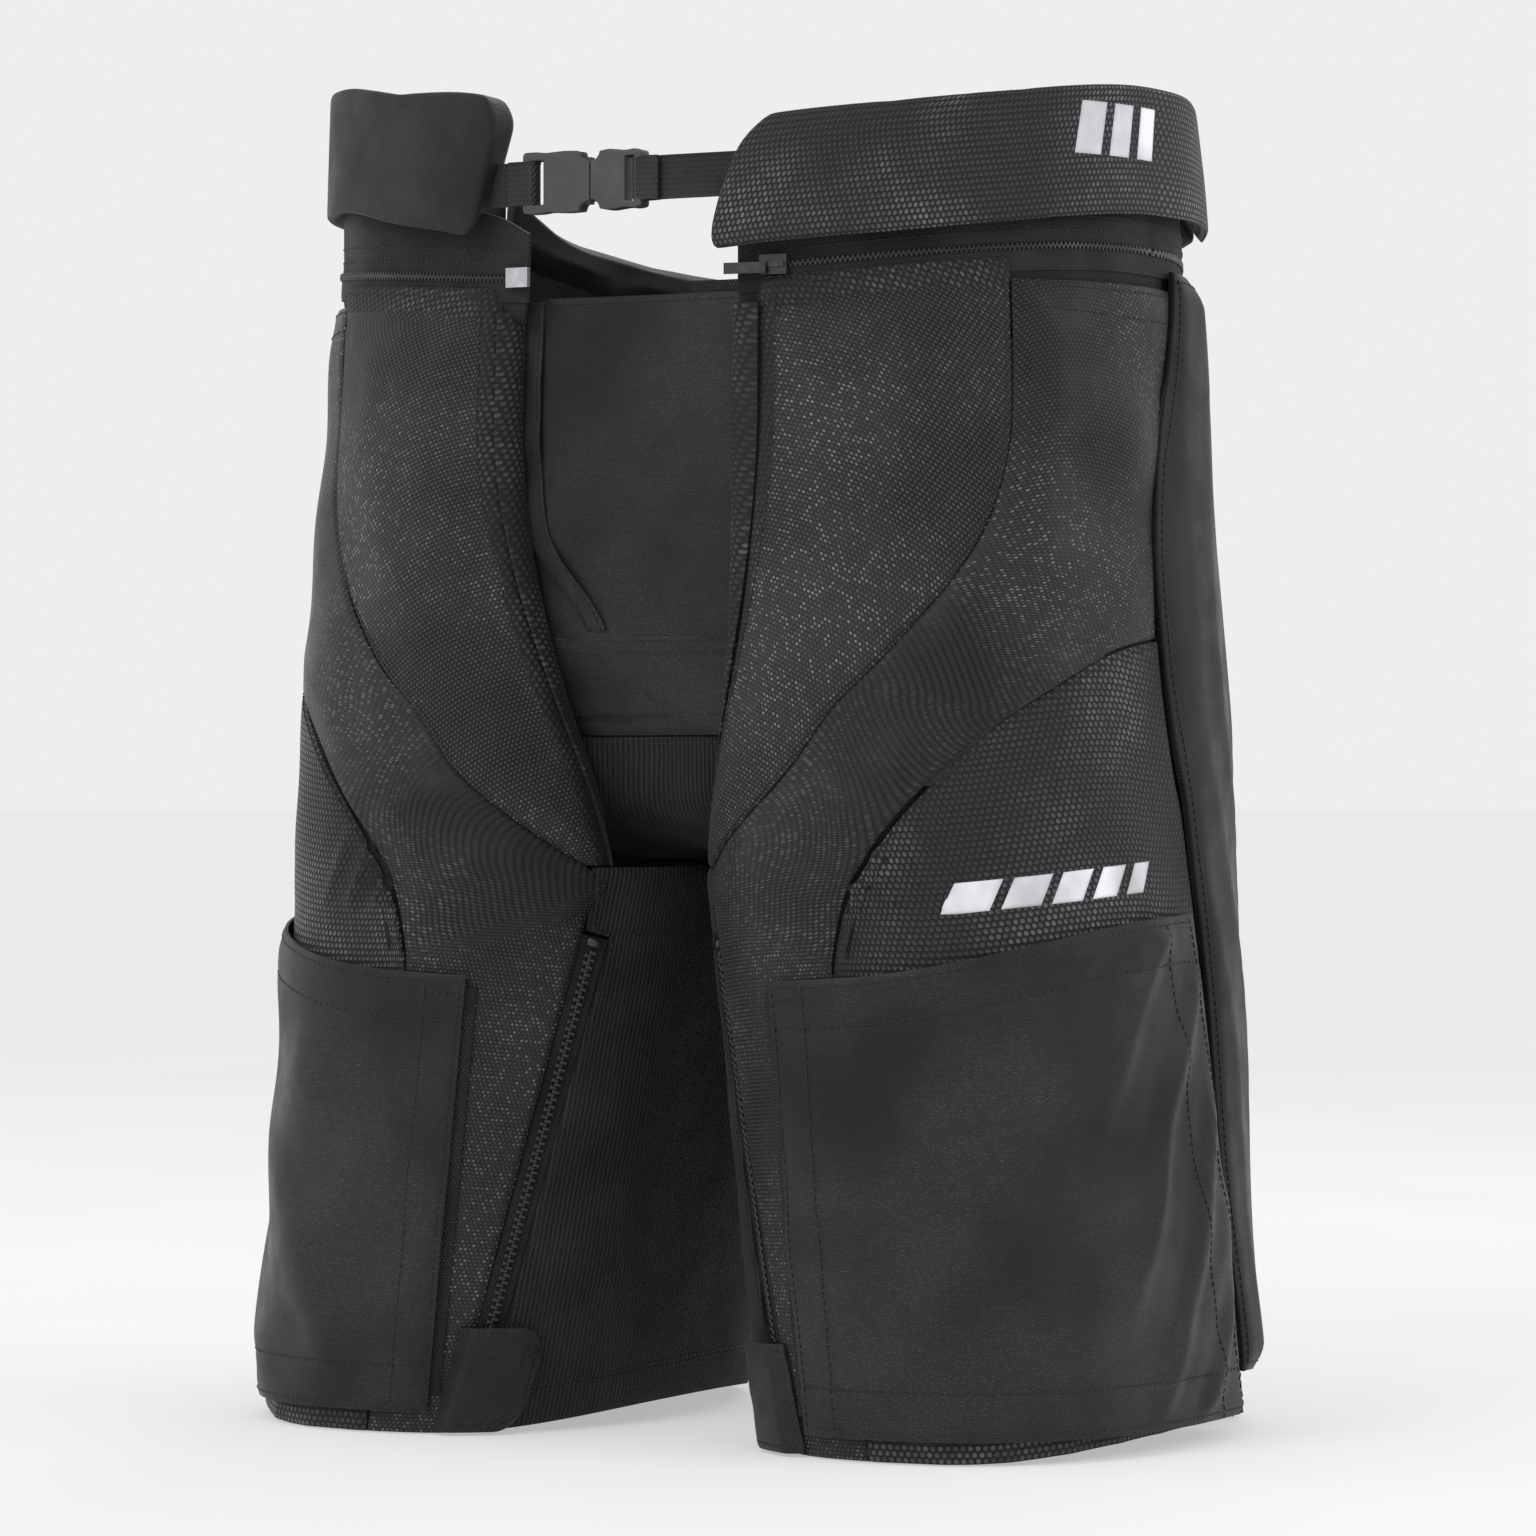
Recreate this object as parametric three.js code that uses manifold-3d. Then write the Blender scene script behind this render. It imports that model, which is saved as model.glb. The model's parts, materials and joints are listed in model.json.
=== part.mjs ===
// Ice hockey pants with a padded belt, zip-off waist, thigh flaps and inner-leg zips.
// Millimetres, +Z up, +X the wearer's left, -Y the front. Origin: centre of the footprint, at the hems.
import * as THREE from "three";
import { mergeVertices } from "three/addons/utils/BufferGeometryUtils.js";
import Module from "manifold-3d";

const wasm = await Module();
wasm.setup();

// ---- Driving dimensions -------------------------------------------------------------------------
const INSEAM = 262; // crotch above the hems
const RISE = 264; // front waist above the crotch
const SIDE_RISE = 13; // the waist edge at the sides, above the front
const BACK_DROP = 50; // the waist edge at the centre back, below the sides
const HEM_RISE = 9; // the hem at the sides of a leg, above its front and back
const HEM_FLAT = 0.3; // share of the turn over which the hem is flat

const HEM_HALF_WIDTH = 99;
const HEM_HALF_DEPTH = 140;
const HEM_GAP = 70; // between the two legs at the hems
const CROTCH_HALF_WIDTH = 108;
const CROTCH_HALF_DEPTH = 137;
const CROTCH_GAP = 6; // between the two legs at the crotch
const HIP_HALF_WIDTH = 222;
const HIP_HALF_DEPTH = 138;
const WAIST_HALF_WIDTH = 208;
const WAIST_HALF_DEPTH = 130;
const LEG_SQUARENESS = 2.35; // superellipse powers of the sections
const WAIST_SQUARENESS = 2.6;

const CLOTH = 1.8; // outer fabric
const PLATE = 2; // moulded thigh plate
const FOAM = 11.6; // thigh foam
const PAD_GAP = 1; // between the layers of a pad
const SEAM_GAP = 0.7; // between panels that are sewn edge to edge
const FLY_RECESS = 16.5; // fly cloth behind the thigh pads' faces

const FLAP = 3; // thigh flap
const FLAP_HEIGHT = 226;
const FLAP_FOOT = 12; // flap's lower edge above the hem
const HOOK_STRIP = 0.7; // hook-and-loop strip under the flap's free edge
const HOOK_STRIP_WIDTH = 20;
const TAB = 1.6; // hem tab over a leg zip
const TAB_HEIGHT = 48;
const TAB_LENGTH = 40;

const ZIP_LENGTH = 232; // leg zip
const ZIP_WIDTH = 12.4;
const ZIP_CLOTH = 2;
const SLIDER_WIDTH = 9;
const SLIDER_LENGTH = 13;
const SLIDER_HEIGHT = 3;
const PULL_WIDTH = 5;
const PULL_DROP = 1.5; // waist pull below its chain, clear of the belt
const PULL_LENGTH = 20;
const PULL = 1.4;
const RUN_GAP = 0.4; // under a slider or a pull

const BELT_HEIGHT = 64;
const BELT_BACK_HEIGHT = 36;
const BELT_FRONT_RISE = 8;
const BELT = 19; // belt thickness
const BELT_OUT = 8; // belt's outer face in front of the waist cloth
const BELT_CLOTH = 2;
const BELT_SLANT = 1.5; // rise of the belt's underside for each millimetre inwards
const WAIST_TAPE = 2;
const WAIST_TAPE_DEPTH = 2.6; // waist zip's outer face behind the waist cloth
const WAIST_ZIP_RISE = 4.2; // waist zip's chain above the waist edge

const WEBBING_WIDTH = 20;
const WEBBING = 1.6;
const BUCKLE_HEIGHT = 27;
const BUCKLE_DEPTH = 8;
const SOCKET_LENGTH = 34;
const PLUG_LENGTH = 27;
const BAR = 3.5; // webbing bars of the buckle
const BUCKLE_TRAVEL = 22;
const STRAP_RISE = 49; // webbing's middle above the front waist edge
const TUCK = 10; // webbing inside a belt wing

// ---- The garment's surface ----------------------------------------------------------------------
const lerp = (a, b, t) => a + (b - a) * t;
const clamp = (v, low, high) => Math.min(Math.max(v, low), high);
const smooth = (t) => {
  const c = clamp(t, 0, 1);
  return c * c * (3 - 2 * c);
};
const power = (c, n) => Math.sign(c) * Math.abs(c) ** (2 / n);

// A smooth line through a few [position, value] points, flat beyond its ends.
function through(points) {
  return (at) => {
    const last = points.length - 1;
    if (at <= points[0][0]) return points[0][1];
    if (at >= points[last][0]) return points[last][1];
    const i = points.findIndex((p) => p[0] > at) - 1;
    const slope = (k) => {
      const a = points[Math.max(k - 1, 0)];
      const b = points[Math.min(k + 1, last)];
      return (b[1] - a[1]) / (b[0] - a[0]);
    };
    const [x0, y0] = points[i];
    const [x1, y1] = points[i + 1];
    const h = x1 - x0;
    const t = (at - x0) / h;
    const rest = 1 - t;
    return (
      y0 * (1 + 2 * t) * rest * rest +
      y1 * t * t * (3 - 2 * t) +
      h * slope(i) * t * rest * rest -
      h * slope(i + 1) * t * t * rest
    );
  };
}

// Levels: 0 is the hem, 1 the crotch, 2 the front waist edge.
const levelOf = (z) => (z < INSEAM ? z / INSEAM : 1 + (z - INSEAM) / RISE);
const heightOf = (level) =>
  level < 1 ? level * INSEAM : INSEAM + (level - 1) * RISE;

// Section of one half at a height: u runs 0 inner or centre front, 0.25 front, 0.5 side, 0.75 back, 1.
function section(u, z) {
  const level = levelOf(z);
  const down = clamp(level, 0, 1);
  const halfWidth = lerp(HEM_HALF_WIDTH, CROTCH_HALF_WIDTH, down);
  const centre = halfWidth + lerp(HEM_GAP, CROTCH_GAP, down) / 2;
  const halfDepth = lerp(HEM_HALF_DEPTH, CROTCH_HALF_DEPTH, down);
  const turn = 2 * Math.PI * u;
  const legX = centre - halfWidth * power(Math.cos(turn), LEG_SQUARENESS);
  const legY = -halfDepth * power(Math.sin(turn), LEG_SQUARENESS);
  const blend = lerp(0.784, 0.34, smooth((u - 0.5) / 0.3));
  const t = smooth((level - 1) / blend);
  if (t === 0) return [legX, legY];
  const up = clamp(level - 1, 0, 1.4);
  const toCentre = Math.max(u < 0.5 ? u : 1 - u, 0);
  const round = (Math.PI / 2) * (2 * toCentre) ** 1.5;
  const waistX =
    lerp(HIP_HALF_WIDTH, WAIST_HALF_WIDTH, up) *
    power(Math.sin(round), WAIST_SQUARENESS);
  const waistY =
    (u < 0.5 ? -1 : 1) *
    lerp(HIP_HALF_DEPTH, WAIST_HALF_DEPTH, up) *
    power(Math.cos(round), WAIST_SQUARENESS);
  return [lerp(legX, waistX, t), lerp(legY, waistY, t)];
}

// Direction along the section, and how many millimetres a unit of u covers there.
function along(u, z) {
  const step = 1e-3;
  const [x1, y1] = section(u + step, z);
  const [x0, y0] = section(u - step, z);
  const reach = Math.hypot(x1 - x0, y1 - y0);
  return {
    x: (x1 - x0) / reach,
    y: (y1 - y0) / reach,
    perUnit: reach / (2 * step),
  };
}

// A point on the left (side 1) or right (side -1) half, out from the surface by w.
function surface(side, u, z, w = 0) {
  const [x, y] = section(u, z);
  const a = along(u, z);
  return new THREE.Vector3(side * (x + a.y * w), y - a.x * w, z);
}
const inU = (u, z, mm) => mm / along(u, z).perUnit;

// ---- Edges and seams ----------------------------------------------------------------------------
const waistEdge = (u) =>
  heightOf(2) +
  SIDE_RISE * smooth(u / 0.5) -
  BACK_DROP * smooth((u - 0.5) / 0.5);
const hemEdge = (u) =>
  HEM_RISE * Math.max(0, (Math.abs(Math.cos(2 * Math.PI * u)) - HEM_FLAT) / (1 - HEM_FLAT)) ** 2;

const MESH_CORNER = 0.84; // level where the mesh panel's front edge turns into its curved upper edge
const padEdge = through([
  [0.95, 0.105],
  [1.14, 0.12],
  [1.3, 0.13],
  [1.52, 0.136],
  [2, 0.138],
]);
const coverSeam = through([
  [0.965, 0.107],
  [1.02, 0.145],
  [1.09, 0.185],
  [1.17, 0.218],
  [1.28, 0.243],
  [1.39, 0.275],
  [1.5, 0.31],
  [1.61, 0.335],
  [1.74, 0.35],
  [2, 0.354],
]);
const meshSeam = through([
  [0.247, MESH_CORNER],
  [0.253, 0.94],
  [0.267, 1.02],
  [0.288, 1.1],
  [0.318, 1.18],
  [0.35, 1.25],
  [0.39, 1.31],
  [0.44, 1.37],
  [0.5, 1.4],
]);
const sideSeam = through([
  [0, 0.545],
  [0.9, 0.512],
  [1.28, 0.487],
  [1.52, 0.485],
  [2, 0.514],
]);
const MESH_EDGE_U = 0.247; // the lower mesh panel's front edge
const HIP_BACK_U = 0.63; // seam between the hip panel and the back
const KNIT_BACK_U = -0.1; // the knit's seam at the back of the inner leg

// The leg zip lies on a straight line from the hem to just below the crotch.
const ZIP_FOOT_U = 0.177;
const ZIP_HEAD_U = 0.118;
const ZIP_FOOT = 3;
const zipHeadHeight = ZIP_FOOT + ZIP_LENGTH * 0.973;
const zipU = (z) =>
  lerp(ZIP_FOOT_U, ZIP_HEAD_U, (z - ZIP_FOOT) / (zipHeadHeight - ZIP_FOOT));

// ---- Building blocks ----------------------------------------------------------------------------
const pants = new THREE.Group();
const SIDES = [
  { side: 1, tag: "left" },
  { side: -1, tag: "right" },
];

const finish = (color, roughness, metalness = 0) =>
  new THREE.MeshStandardMaterial({ color, roughness, metalness });
const materials = {
  twill: finish(0x2c2c2f, 0.85),
  mesh: finish(0x2a2a2d, 0.8),
  nylon: finish(0x2f2f32, 0.65),
  knit: finish(0x1e1e20, 0.95),
  foam: finish(0x4a4a4d, 0.9),
  plate: finish(0x202022, 0.5),
  webbing: finish(0x28282a, 0.8),
  buckle: finish(0x39393c, 0.45),
  chain: finish(0x1f1f21, 0.4),
  metal: finish(0xc8c8cc, 0.3, 1),
};

function add(name, geometry, material) {
  const mesh = new THREE.Mesh(geometry, material);
  mesh.name = name;
  pants.add(mesh);
  return mesh;
}

// A closed curved slab. place(s, t, w) gives a point: s across, t up, w out.
function slab(place, inner, outer, across, up) {
  const box = new THREE.BoxGeometry(1, 1, 1, across, up, 1);
  const p = box.getAttribute("position");
  for (let i = 0; i < p.count; i++) {
    const w = lerp(inner, outer, p.getZ(i) + 0.5);
    const v = place(p.getX(i) + 0.5, p.getY(i) + 0.5, w);
    p.setXYZ(i, v.x, v.y, v.z);
  }
  return box;
}

// The mirror image in the middle plane.
function mirrored(geometry) {
  const image = geometry.clone().scale(-1, 1, 1);
  const corners = image.index.array;
  for (let i = 0; i < corners.length; i += 3)
    [corners[i + 1], corners[i + 2]] = [corners[i + 2], corners[i + 1]];
  return image;
}
const onSide = (side, geometry) => (side > 0 ? geometry : mirrored(geometry));

// A slab on one half: patch(s, t) gives [u, z] on the left half, which the right half mirrors.
function panel(side, patch, inner, outer, across, up) {
  const place = (s, t, w) => {
    const [u, z] = patch(s, t);
    return surface(1, u, z, w);
  };
  return onSide(side, slab(place, inner, outer, across, up));
}

// A slab round the back: q runs from the left front (0) by the centre back (1) to the right front (2).
function ring(patch, inner, outer, across, up) {
  const place = (s, t, w) => {
    const [q, z] = patch(s, t, w);
    return q < 1 ? surface(1, q, z, w) : surface(-1, 2 - q, z, w);
  };
  return slab(place, inner, outer, across, up);
}

function toSolid(geometry) {
  const plain = geometry.clone();
  plain.deleteAttribute("normal");
  plain.deleteAttribute("uv");
  const merged = mergeVertices(plain, 1e-4);
  return new wasm.Manifold(
    new wasm.Mesh({
      numProp: 3,
      vertProperties: new Float32Array(merged.getAttribute("position").array),
      triVerts: new Uint32Array(merged.index.array),
    }),
  );
}

function toGeometry(solid) {
  const mesh = solid.getMesh();
  const geometry = new THREE.BufferGeometry();
  geometry.setAttribute(
    "position",
    new THREE.BufferAttribute(new Float32Array(mesh.vertProperties), 3),
  );
  geometry.setIndex(new THREE.BufferAttribute(new Uint32Array(mesh.triVerts), 1));
  geometry.computeVertexNormals();
  return geometry;
}

// A block between two corners, in a local frame.
function block(low, high) {
  const size = high.map((v, i) => v - low[i]);
  const middle = high.map((v, i) => (v + low[i]) / 2);
  return new THREE.BoxGeometry(...size).translate(...middle);
}
const joined = (...parts) =>
  parts.map(toSolid).reduce((sum, part) => sum.add(part));
const without = (solid, ...parts) =>
  parts.map(toSolid).reduce((rest, part) => rest.subtract(part), solid);

// ---- Leg and body panels ------------------------------------------------------------------------
function coverPatch(s, t) {
  const level = lerp(1.0, 1.985, t ** 1.15);
  const z = t === 1 ? 0 : heightOf(level);
  const bottom = padEdge(level);
  const seam = coverSeam(level);
  const u = lerp(bottom, seam - inU(seam, heightOf(level), SEAM_GAP), s);
  return [u, t === 1 ? waistEdge(u) - 1 : z];
}

// The middle panel's rows run from the leg zip and the cover's seam to the mesh panel and the side seam.
const MESH_TOP_U = 0.484;
const ZIP_ROWS = 0.41; // share of the rows that start at the zip
const MESH_ROWS = 0.76; // share of the rows that end at the mesh panel
function midLeft(t) {
  const above = (t - ZIP_ROWS) / (1 - ZIP_ROWS);
  const level = above < 0 ? (t / ZIP_ROWS) * 0.93 : lerp(0.965, 2, above);
  const z = heightOf(level);
  if (above >= 0) return [coverSeam(level), z];
  return [zipU(z) + inU(zipU(z), z, ZIP_WIDTH / 2 + SEAM_GAP), z];
}
function midRight(t) {
  if (t < ZIP_ROWS) return [MESH_EDGE_U, heightOf((t / ZIP_ROWS) * MESH_CORNER)];
  if (t > MESH_ROWS) {
    const level = lerp(1.4, 2, (t - MESH_ROWS) / (1 - MESH_ROWS));
    return [sideSeam(level), heightOf(level)];
  }
  const turn = (t - ZIP_ROWS) / (MESH_ROWS - ZIP_ROWS);
  const u = lerp(MESH_EDGE_U, MESH_TOP_U, turn ** 1.3);
  return [u, heightOf(meshSeam(u))];
}
function midPatch(s, t) {
  const [u0, z0] = midLeft(t);
  const [u1, z1] = midRight(t);
  const z = lerp(z0, z1, s);
  const u = lerp(u0, u1 - inU(u1, z1, SEAM_GAP), s);
  return [u, clamp(z, hemEdge(u), waistEdge(u) - 1)];
}

function meshPatch(s, t) {
  const seam = sideSeam(lerp(0, 1.35, t));
  const u = lerp(MESH_EDGE_U, seam - inU(0.5, INSEAM, SEAM_GAP), s);
  const top = heightOf(meshSeam(u)) - SEAM_GAP * (2 + 6 * (1 - s) ** 4);
  return [u, lerp(hemEdge(u), top, t)];
}

function hipPatch(s, t) {
  const u0 = sideSeam(lerp(0, 2, t));
  const u = lerp(u0, HIP_BACK_U, s);
  return [u, lerp(hemEdge(u) + 20, waistEdge(u) - 4, t)];
}

function seatPatch(s, t) {
  const u = lerp(HIP_BACK_U + 0.0015, 1 - inU(0.99, 400, SEAM_GAP / 2), s);
  return [u, lerp(INSEAM + SEAM_GAP, waistEdge(u) - 1, t ** 1.5)];
}

function legBackPatch(s, t) {
  const u = lerp(HIP_BACK_U + 0.0015, 1 + KNIT_BACK_U, s);
  return [u, lerp(hemEdge(u), INSEAM, t)];
}

function knitPatch(s, t) {
  const z = lerp(0, INSEAM - 6, t);
  const zip = zipU(z) - inU(zipU(z), z, ZIP_WIDTH / 2 + 2 * SEAM_GAP);
  const front = z > zipHeadHeight ? zipU(zipHeadHeight) - 0.01 : zip;
  const u = lerp(KNIT_BACK_U + 0.001, front, s);
  return [u, lerp(hemEdge(u), INSEAM - 6, t)];
}

for (const { side, tag } of SIDES) {
  const cloth = (name, patch, material, across, up) =>
    add(name + "_" + tag, panel(side, patch, -CLOTH, 0, across, up), material);
  cloth("thigh_cover", coverPatch, materials.mesh, 9, 14);
  cloth("mid_panel", midPatch, materials.twill, 10, 25);
  cloth("lower_mesh", meshPatch, materials.mesh, 14, 7);
  cloth("seat_panel", seatPatch, materials.nylon, 12, 13);
  cloth("leg_back", legBackPatch, materials.nylon, 9, 6);
  cloth("inner_knit", knitPatch, materials.knit, 9, 8);
  add("hip_panel_" + tag, panel(side, hipPatch, 0.6, 2.6, 4, 14), materials.nylon);
}

// ---- Pads ---------------------------------------------------------------------------------------
function padPatch(s, t) {
  const level = lerp(1.06, 1.96, t);
  const z = heightOf(level);
  const first = padEdge(level) + inU(0.14, z, CLOTH + PAD_GAP + 1.2);
  return [lerp(first, sideSeam(level) - 0.02, s), z];
}

function platePatch(s, t) {
  const level = lerp(1.14, 1.9, t);
  const z = heightOf(level);
  const first = padEdge(level) + inU(0.14, z, CLOTH + PAD_GAP + 8);
  return [lerp(first, sideSeam(level) - 0.05, s), z];
}

function sideWallPatch(s, t) {
  const level = lerp(1.0, 1.965, t);
  const z = heightOf(level);
  const edge = padEdge(level);
  return [edge + inU(edge, z, lerp(0, CLOTH, s)), z];
}

function hipPadPatch(s, t) {
  const level = lerp(1.2, 1.9, t);
  const first = sideSeam(level) + 0.005;
  return [lerp(first, HIP_BACK_U + 0.05, s), heightOf(level)];
}

const plateOut = -CLOTH - PAD_GAP;
const foamOut = plateOut - PLATE - PAD_GAP;
const padDepth = foamOut - FOAM;
const backOut = -CLOTH - 1.4 * PAD_GAP;
for (const { side, tag } of SIDES) {
  add("thigh_plate_" + tag, panel(side, platePatch, plateOut - PLATE, plateOut, 12, 12), materials.plate);
  add("thigh_foam_" + tag, panel(side, padPatch, padDepth, foamOut, 12, 12), materials.foam);
  const wallOut = -CLOTH - SEAM_GAP;
  add("thigh_side_wall_" + tag, panel(side, sideWallPatch, padDepth, wallOut, 1, 12), materials.mesh);
  add("hip_pad_" + tag, panel(side, hipPadPatch, padDepth, backOut, 6, 8), materials.foam);
}
const tailPatch = (s, t) => [lerp(0.87, 1.13, s), lerp(heightOf(1.35), heightOf(1.75), t)];
const tailOut = -CLOTH - PAD_GAP;
add("tailbone_pad", ring(tailPatch, padDepth, tailOut, 12, 7), materials.foam);

// ---- Fly and crotch -----------------------------------------------------------------------------
// The fly spans the two thigh pads' inner edges; x follows them, with a clearance for the side walls.
const flyHalf = (level) =>
  surface(1, padEdge(level), heightOf(level), -FLY_RECESS).x - SEAM_GAP;
const flyFace = (level) =>
  surface(1, padEdge(level), heightOf(level)).y + FLY_RECESS;

function fly(low, high, depth, thick, half, across, up) {
  const place = (s, t, w) => {
    const level = lerp(low, high, t);
    const x = lerp(-1, 1, s) * half(level);
    return new THREE.Vector3(x, flyFace(level) + depth - w, heightOf(level));
  };
  return slab(place, -thick, 0, across, up);
}

const FLY_CLOTH = 1.6;
const BAND_TOP = 1.4;
const BAND_FOOT = 1.225;
const BAND = 1.2;
add("fly_panel", fly(BAND_FOOT + 0.0025, 1.99, 0, FLY_CLOTH, flyHalf, 6, 12), materials.nylon);
const bandHalf = (level) => flyHalf(level) - 1;
add("fly_band", fly(BAND_FOOT + 0.03, BAND_TOP, -BAND - RUN_GAP, BAND, bandHalf, 6, 3), materials.nylon);

const PLACKET_WIDTH = 11;
function placket(s, t, w) {
  const level = lerp(BAND_TOP + 0.01, 1.985, t);
  const curve = 22 * (1 - smooth((level - BAND_TOP) / 0.2));
  const x = -flyHalf(level) + 2 + curve + s * PLACKET_WIDTH;
  return new THREE.Vector3(x, flyFace(level) - RUN_GAP - w, heightOf(level));
}
add("fly_placket", slab(placket, 0, BAND, 1, 10), materials.nylon);

const FLY_TAB_WIDTH = 34;
const FLY_TAB_HEIGHT = 30;
function flyTab(s, t, w) {
  const z = heightOf(2) + 3 - FLY_TAB_HEIGHT * (1 - t);
  const x = flyHalf(1.95) - 5 - FLY_TAB_WIDTH * (1 - s);
  const y = flyFace(levelOf(z)) + FLY_CLOTH + RUN_GAP + FLY_CLOTH - w;
  return new THREE.Vector3(x, y, z);
}
add("fly_hook_tab", slab(flyTab, 0, FLY_CLOTH, 2, 2), materials.webbing);

// The gusset hangs from the fly's foot and runs back under the crotch.
const GUSSET = 1.6;
const gussetTop = heightOf(BAND_FOOT);
const gussetHalf = (a) => lerp(flyHalf(BAND_FOOT) - 1, CROTCH_GAP / 2 + 1, smooth(a * 1.1));
function gusset(s, t, w) {
  const a = 1 - t;
  const turn = (a * Math.PI) / 2;
  const drop = gussetTop - INSEAM - 3;
  const front = flyFace(BAND_FOOT);
  const z = gussetTop - drop * Math.sin(turn) - w * Math.sin(turn);
  const y = front + (-front - 6) * (1 - Math.cos(turn)) - w * Math.cos(turn);
  return new THREE.Vector3(lerp(-1, 1, s) * gussetHalf(a), y, z);
}
add("crotch_gusset", slab(gusset, -GUSSET, 0, 6, 8), materials.knit);

// ---- Thigh flaps, hook strips and hem tabs ------------------------------------------------------
const FLAP_FREE_U = 0.205;
const flapOut = HOOK_STRIP + 3 * RUN_GAP;
const flapTop = FLAP_FOOT + FLAP_HEIGHT;
function flapPatch(s, t) {
  const seam = sideSeam(levelOf(lerp(FLAP_FOOT, flapTop, t))) - 0.01;
  const u = lerp(FLAP_FREE_U, seam, s);
  const slope = lerp(-26, 2, smooth((u - FLAP_FREE_U) / 0.3));
  return [u, lerp(FLAP_FOOT - 2, flapTop + slope, t)];
}
function hookPatch(s, t) {
  const z = lerp(FLAP_FOOT + 6, flapTop - 32, t);
  const first = FLAP_FREE_U - inU(FLAP_FREE_U, z, 5);
  return [first + inU(FLAP_FREE_U, z, s * HOOK_STRIP_WIDTH), z];
}

// A local frame on the surface: X across, Y up the surface, Z out.
function basisAt(across, up, origin) {
  const out = new THREE.Vector3().crossVectors(across, up).normalize();
  const x = new THREE.Vector3().crossVectors(up, out);
  return new THREE.Matrix4().makeBasis(x, up, out).setPosition(origin);
}

function zipFrame(side) {
  const foot = surface(side, ZIP_FOOT_U, ZIP_FOOT);
  const head = surface(side, ZIP_HEAD_U, zipHeadHeight);
  const up = head.clone().sub(foot).normalize();
  const middle = (ZIP_FOOT + zipHeadHeight) / 2;
  const a = along(zipU(middle), middle);
  const across = new THREE.Vector3(a.x, side * a.y, 0);
  return { matrix: basisAt(across, up, foot), length: head.distanceTo(foot) };
}

const TAB_ROOT = 14; // tab's sewn edge to the zip's centre line
const tabLift = RUN_GAP * 2 + SLIDER_HEIGHT + PULL + RUN_GAP;
for (const { side, tag } of SIDES) {
  add("thigh_flap_" + tag, panel(side, flapPatch, flapOut, flapOut + FLAP, 14, 7), materials.nylon);
  add("hook_strip_" + tag, panel(side, hookPatch, RUN_GAP, RUN_GAP + HOOK_STRIP, 3, 6), materials.webbing);

  const { matrix, length } = zipFrame(side);
  const inZip = (geometry) => geometry.applyMatrix4(matrix);
  const half = ZIP_WIDTH / 2;
  const chain = joined(
    block([-half, 0, -ZIP_CLOTH], [half, length, -ZIP_CLOTH / 2]),
    block([-3, 2, -ZIP_CLOTH], [3, length - 3, 0]),
    block([-4, length - 3.5, -ZIP_CLOTH], [4, length - 0.5, 1]),
  );
  add("leg_zip_" + tag, inZip(toGeometry(chain)), materials.chain);

  const bottom = 4;
  const shoe = SLIDER_WIDTH / 2;
  const slider = joined(
    block([-shoe, bottom, RUN_GAP], [shoe, bottom + SLIDER_LENGTH, SLIDER_HEIGHT - 1]),
    block([-1.2, bottom + 3, 1], [1.2, bottom + SLIDER_LENGTH - 1, SLIDER_HEIGHT]),
  );
  add("leg_slider_" + tag, inZip(toGeometry(slider)), materials.chain);

  const low = SLIDER_HEIGHT + RUN_GAP;
  const tongue = block(
    [-PULL_WIDTH / 2, bottom + 5, low],
    [PULL_WIDTH / 2, bottom + 5 + PULL_LENGTH, low + PULL],
  );
  add("leg_pull_" + tag, inZip(tongue), materials.chain);
}

function tabPatch(s, t) {
  const z = lerp(1, 1 + TAB_HEIGHT, t);
  const root = zipU(z) + inU(zipU(z), z, TAB_ROOT);
  return [root - inU(root, z, (1 - s) * TAB_LENGTH), z];
}
for (const { side, tag } of SIDES) {
  const place = (s, t, w) => {
    const [u, z] = tabPatch(s, t);
    const lift = 0.8 + tabLift * smooth(s / 0.3) * smooth((1 - s) / 0.18);
    return surface(1, u, z, w + lift);
  };
  add("hem_tab_" + tag, onSide(side, slab(place, 0, TAB, 8, 3)), materials.nylon);
}

// ---- Waist zip ----------------------------------------------------------------------------------
const WAIST_LEFT_U = 0.122;
const WAIST_RIGHT_Q = 2 - 0.112;
const tapeFace = -WAIST_TAPE_DEPTH;
const toU = (q) => (q < 1 ? q : 2 - q);
const beltFoot = (q) =>
  heightOf(2) + (q < 1 ? leftBeltFoot(q) : rightBeltFoot(2 - q));
const leftBeltFoot = through([
  [0.1, 8],
  [0.263, 15],
  [0.34, 19],
  [0.49, 27],
  [0.6, 24],
  [1, -16],
  [1.4, 24],
]);
const rightBeltFoot = through([
  [0.112, 9],
  [0.147, 18],
  [0.238, 28],
  [0.325, 38],
  [0.45, 38],
  [0.52, 34],
  [0.6, 21],
  [0.68, 6],
  [0.76, -6],
  [0.86, -14],
  [1, -16],
  [1.4, 24],
]);
const chainRise = (q) => waistEdge(toU(q)) + WAIST_ZIP_RISE;
const RING_STEPS = 44;
const chainOut = tapeFace + RUN_GAP + 1;
function lowerTape(s, t) {
  const q = lerp(WAIST_LEFT_U, WAIST_RIGHT_Q, s);
  return [q, lerp(waistEdge(toU(q)) - 7, chainRise(q) - SEAM_GAP / 2, t)];
}
function upperTape(s, t) {
  const q = lerp(WAIST_LEFT_U, WAIST_RIGHT_Q, s);
  const top = beltFoot(q) + (BELT_OUT - tapeFace) * BELT_SLANT - 1.5 * SEAM_GAP;
  return [q, lerp(chainRise(q) + SEAM_GAP / 2, top, t)];
}
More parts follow.
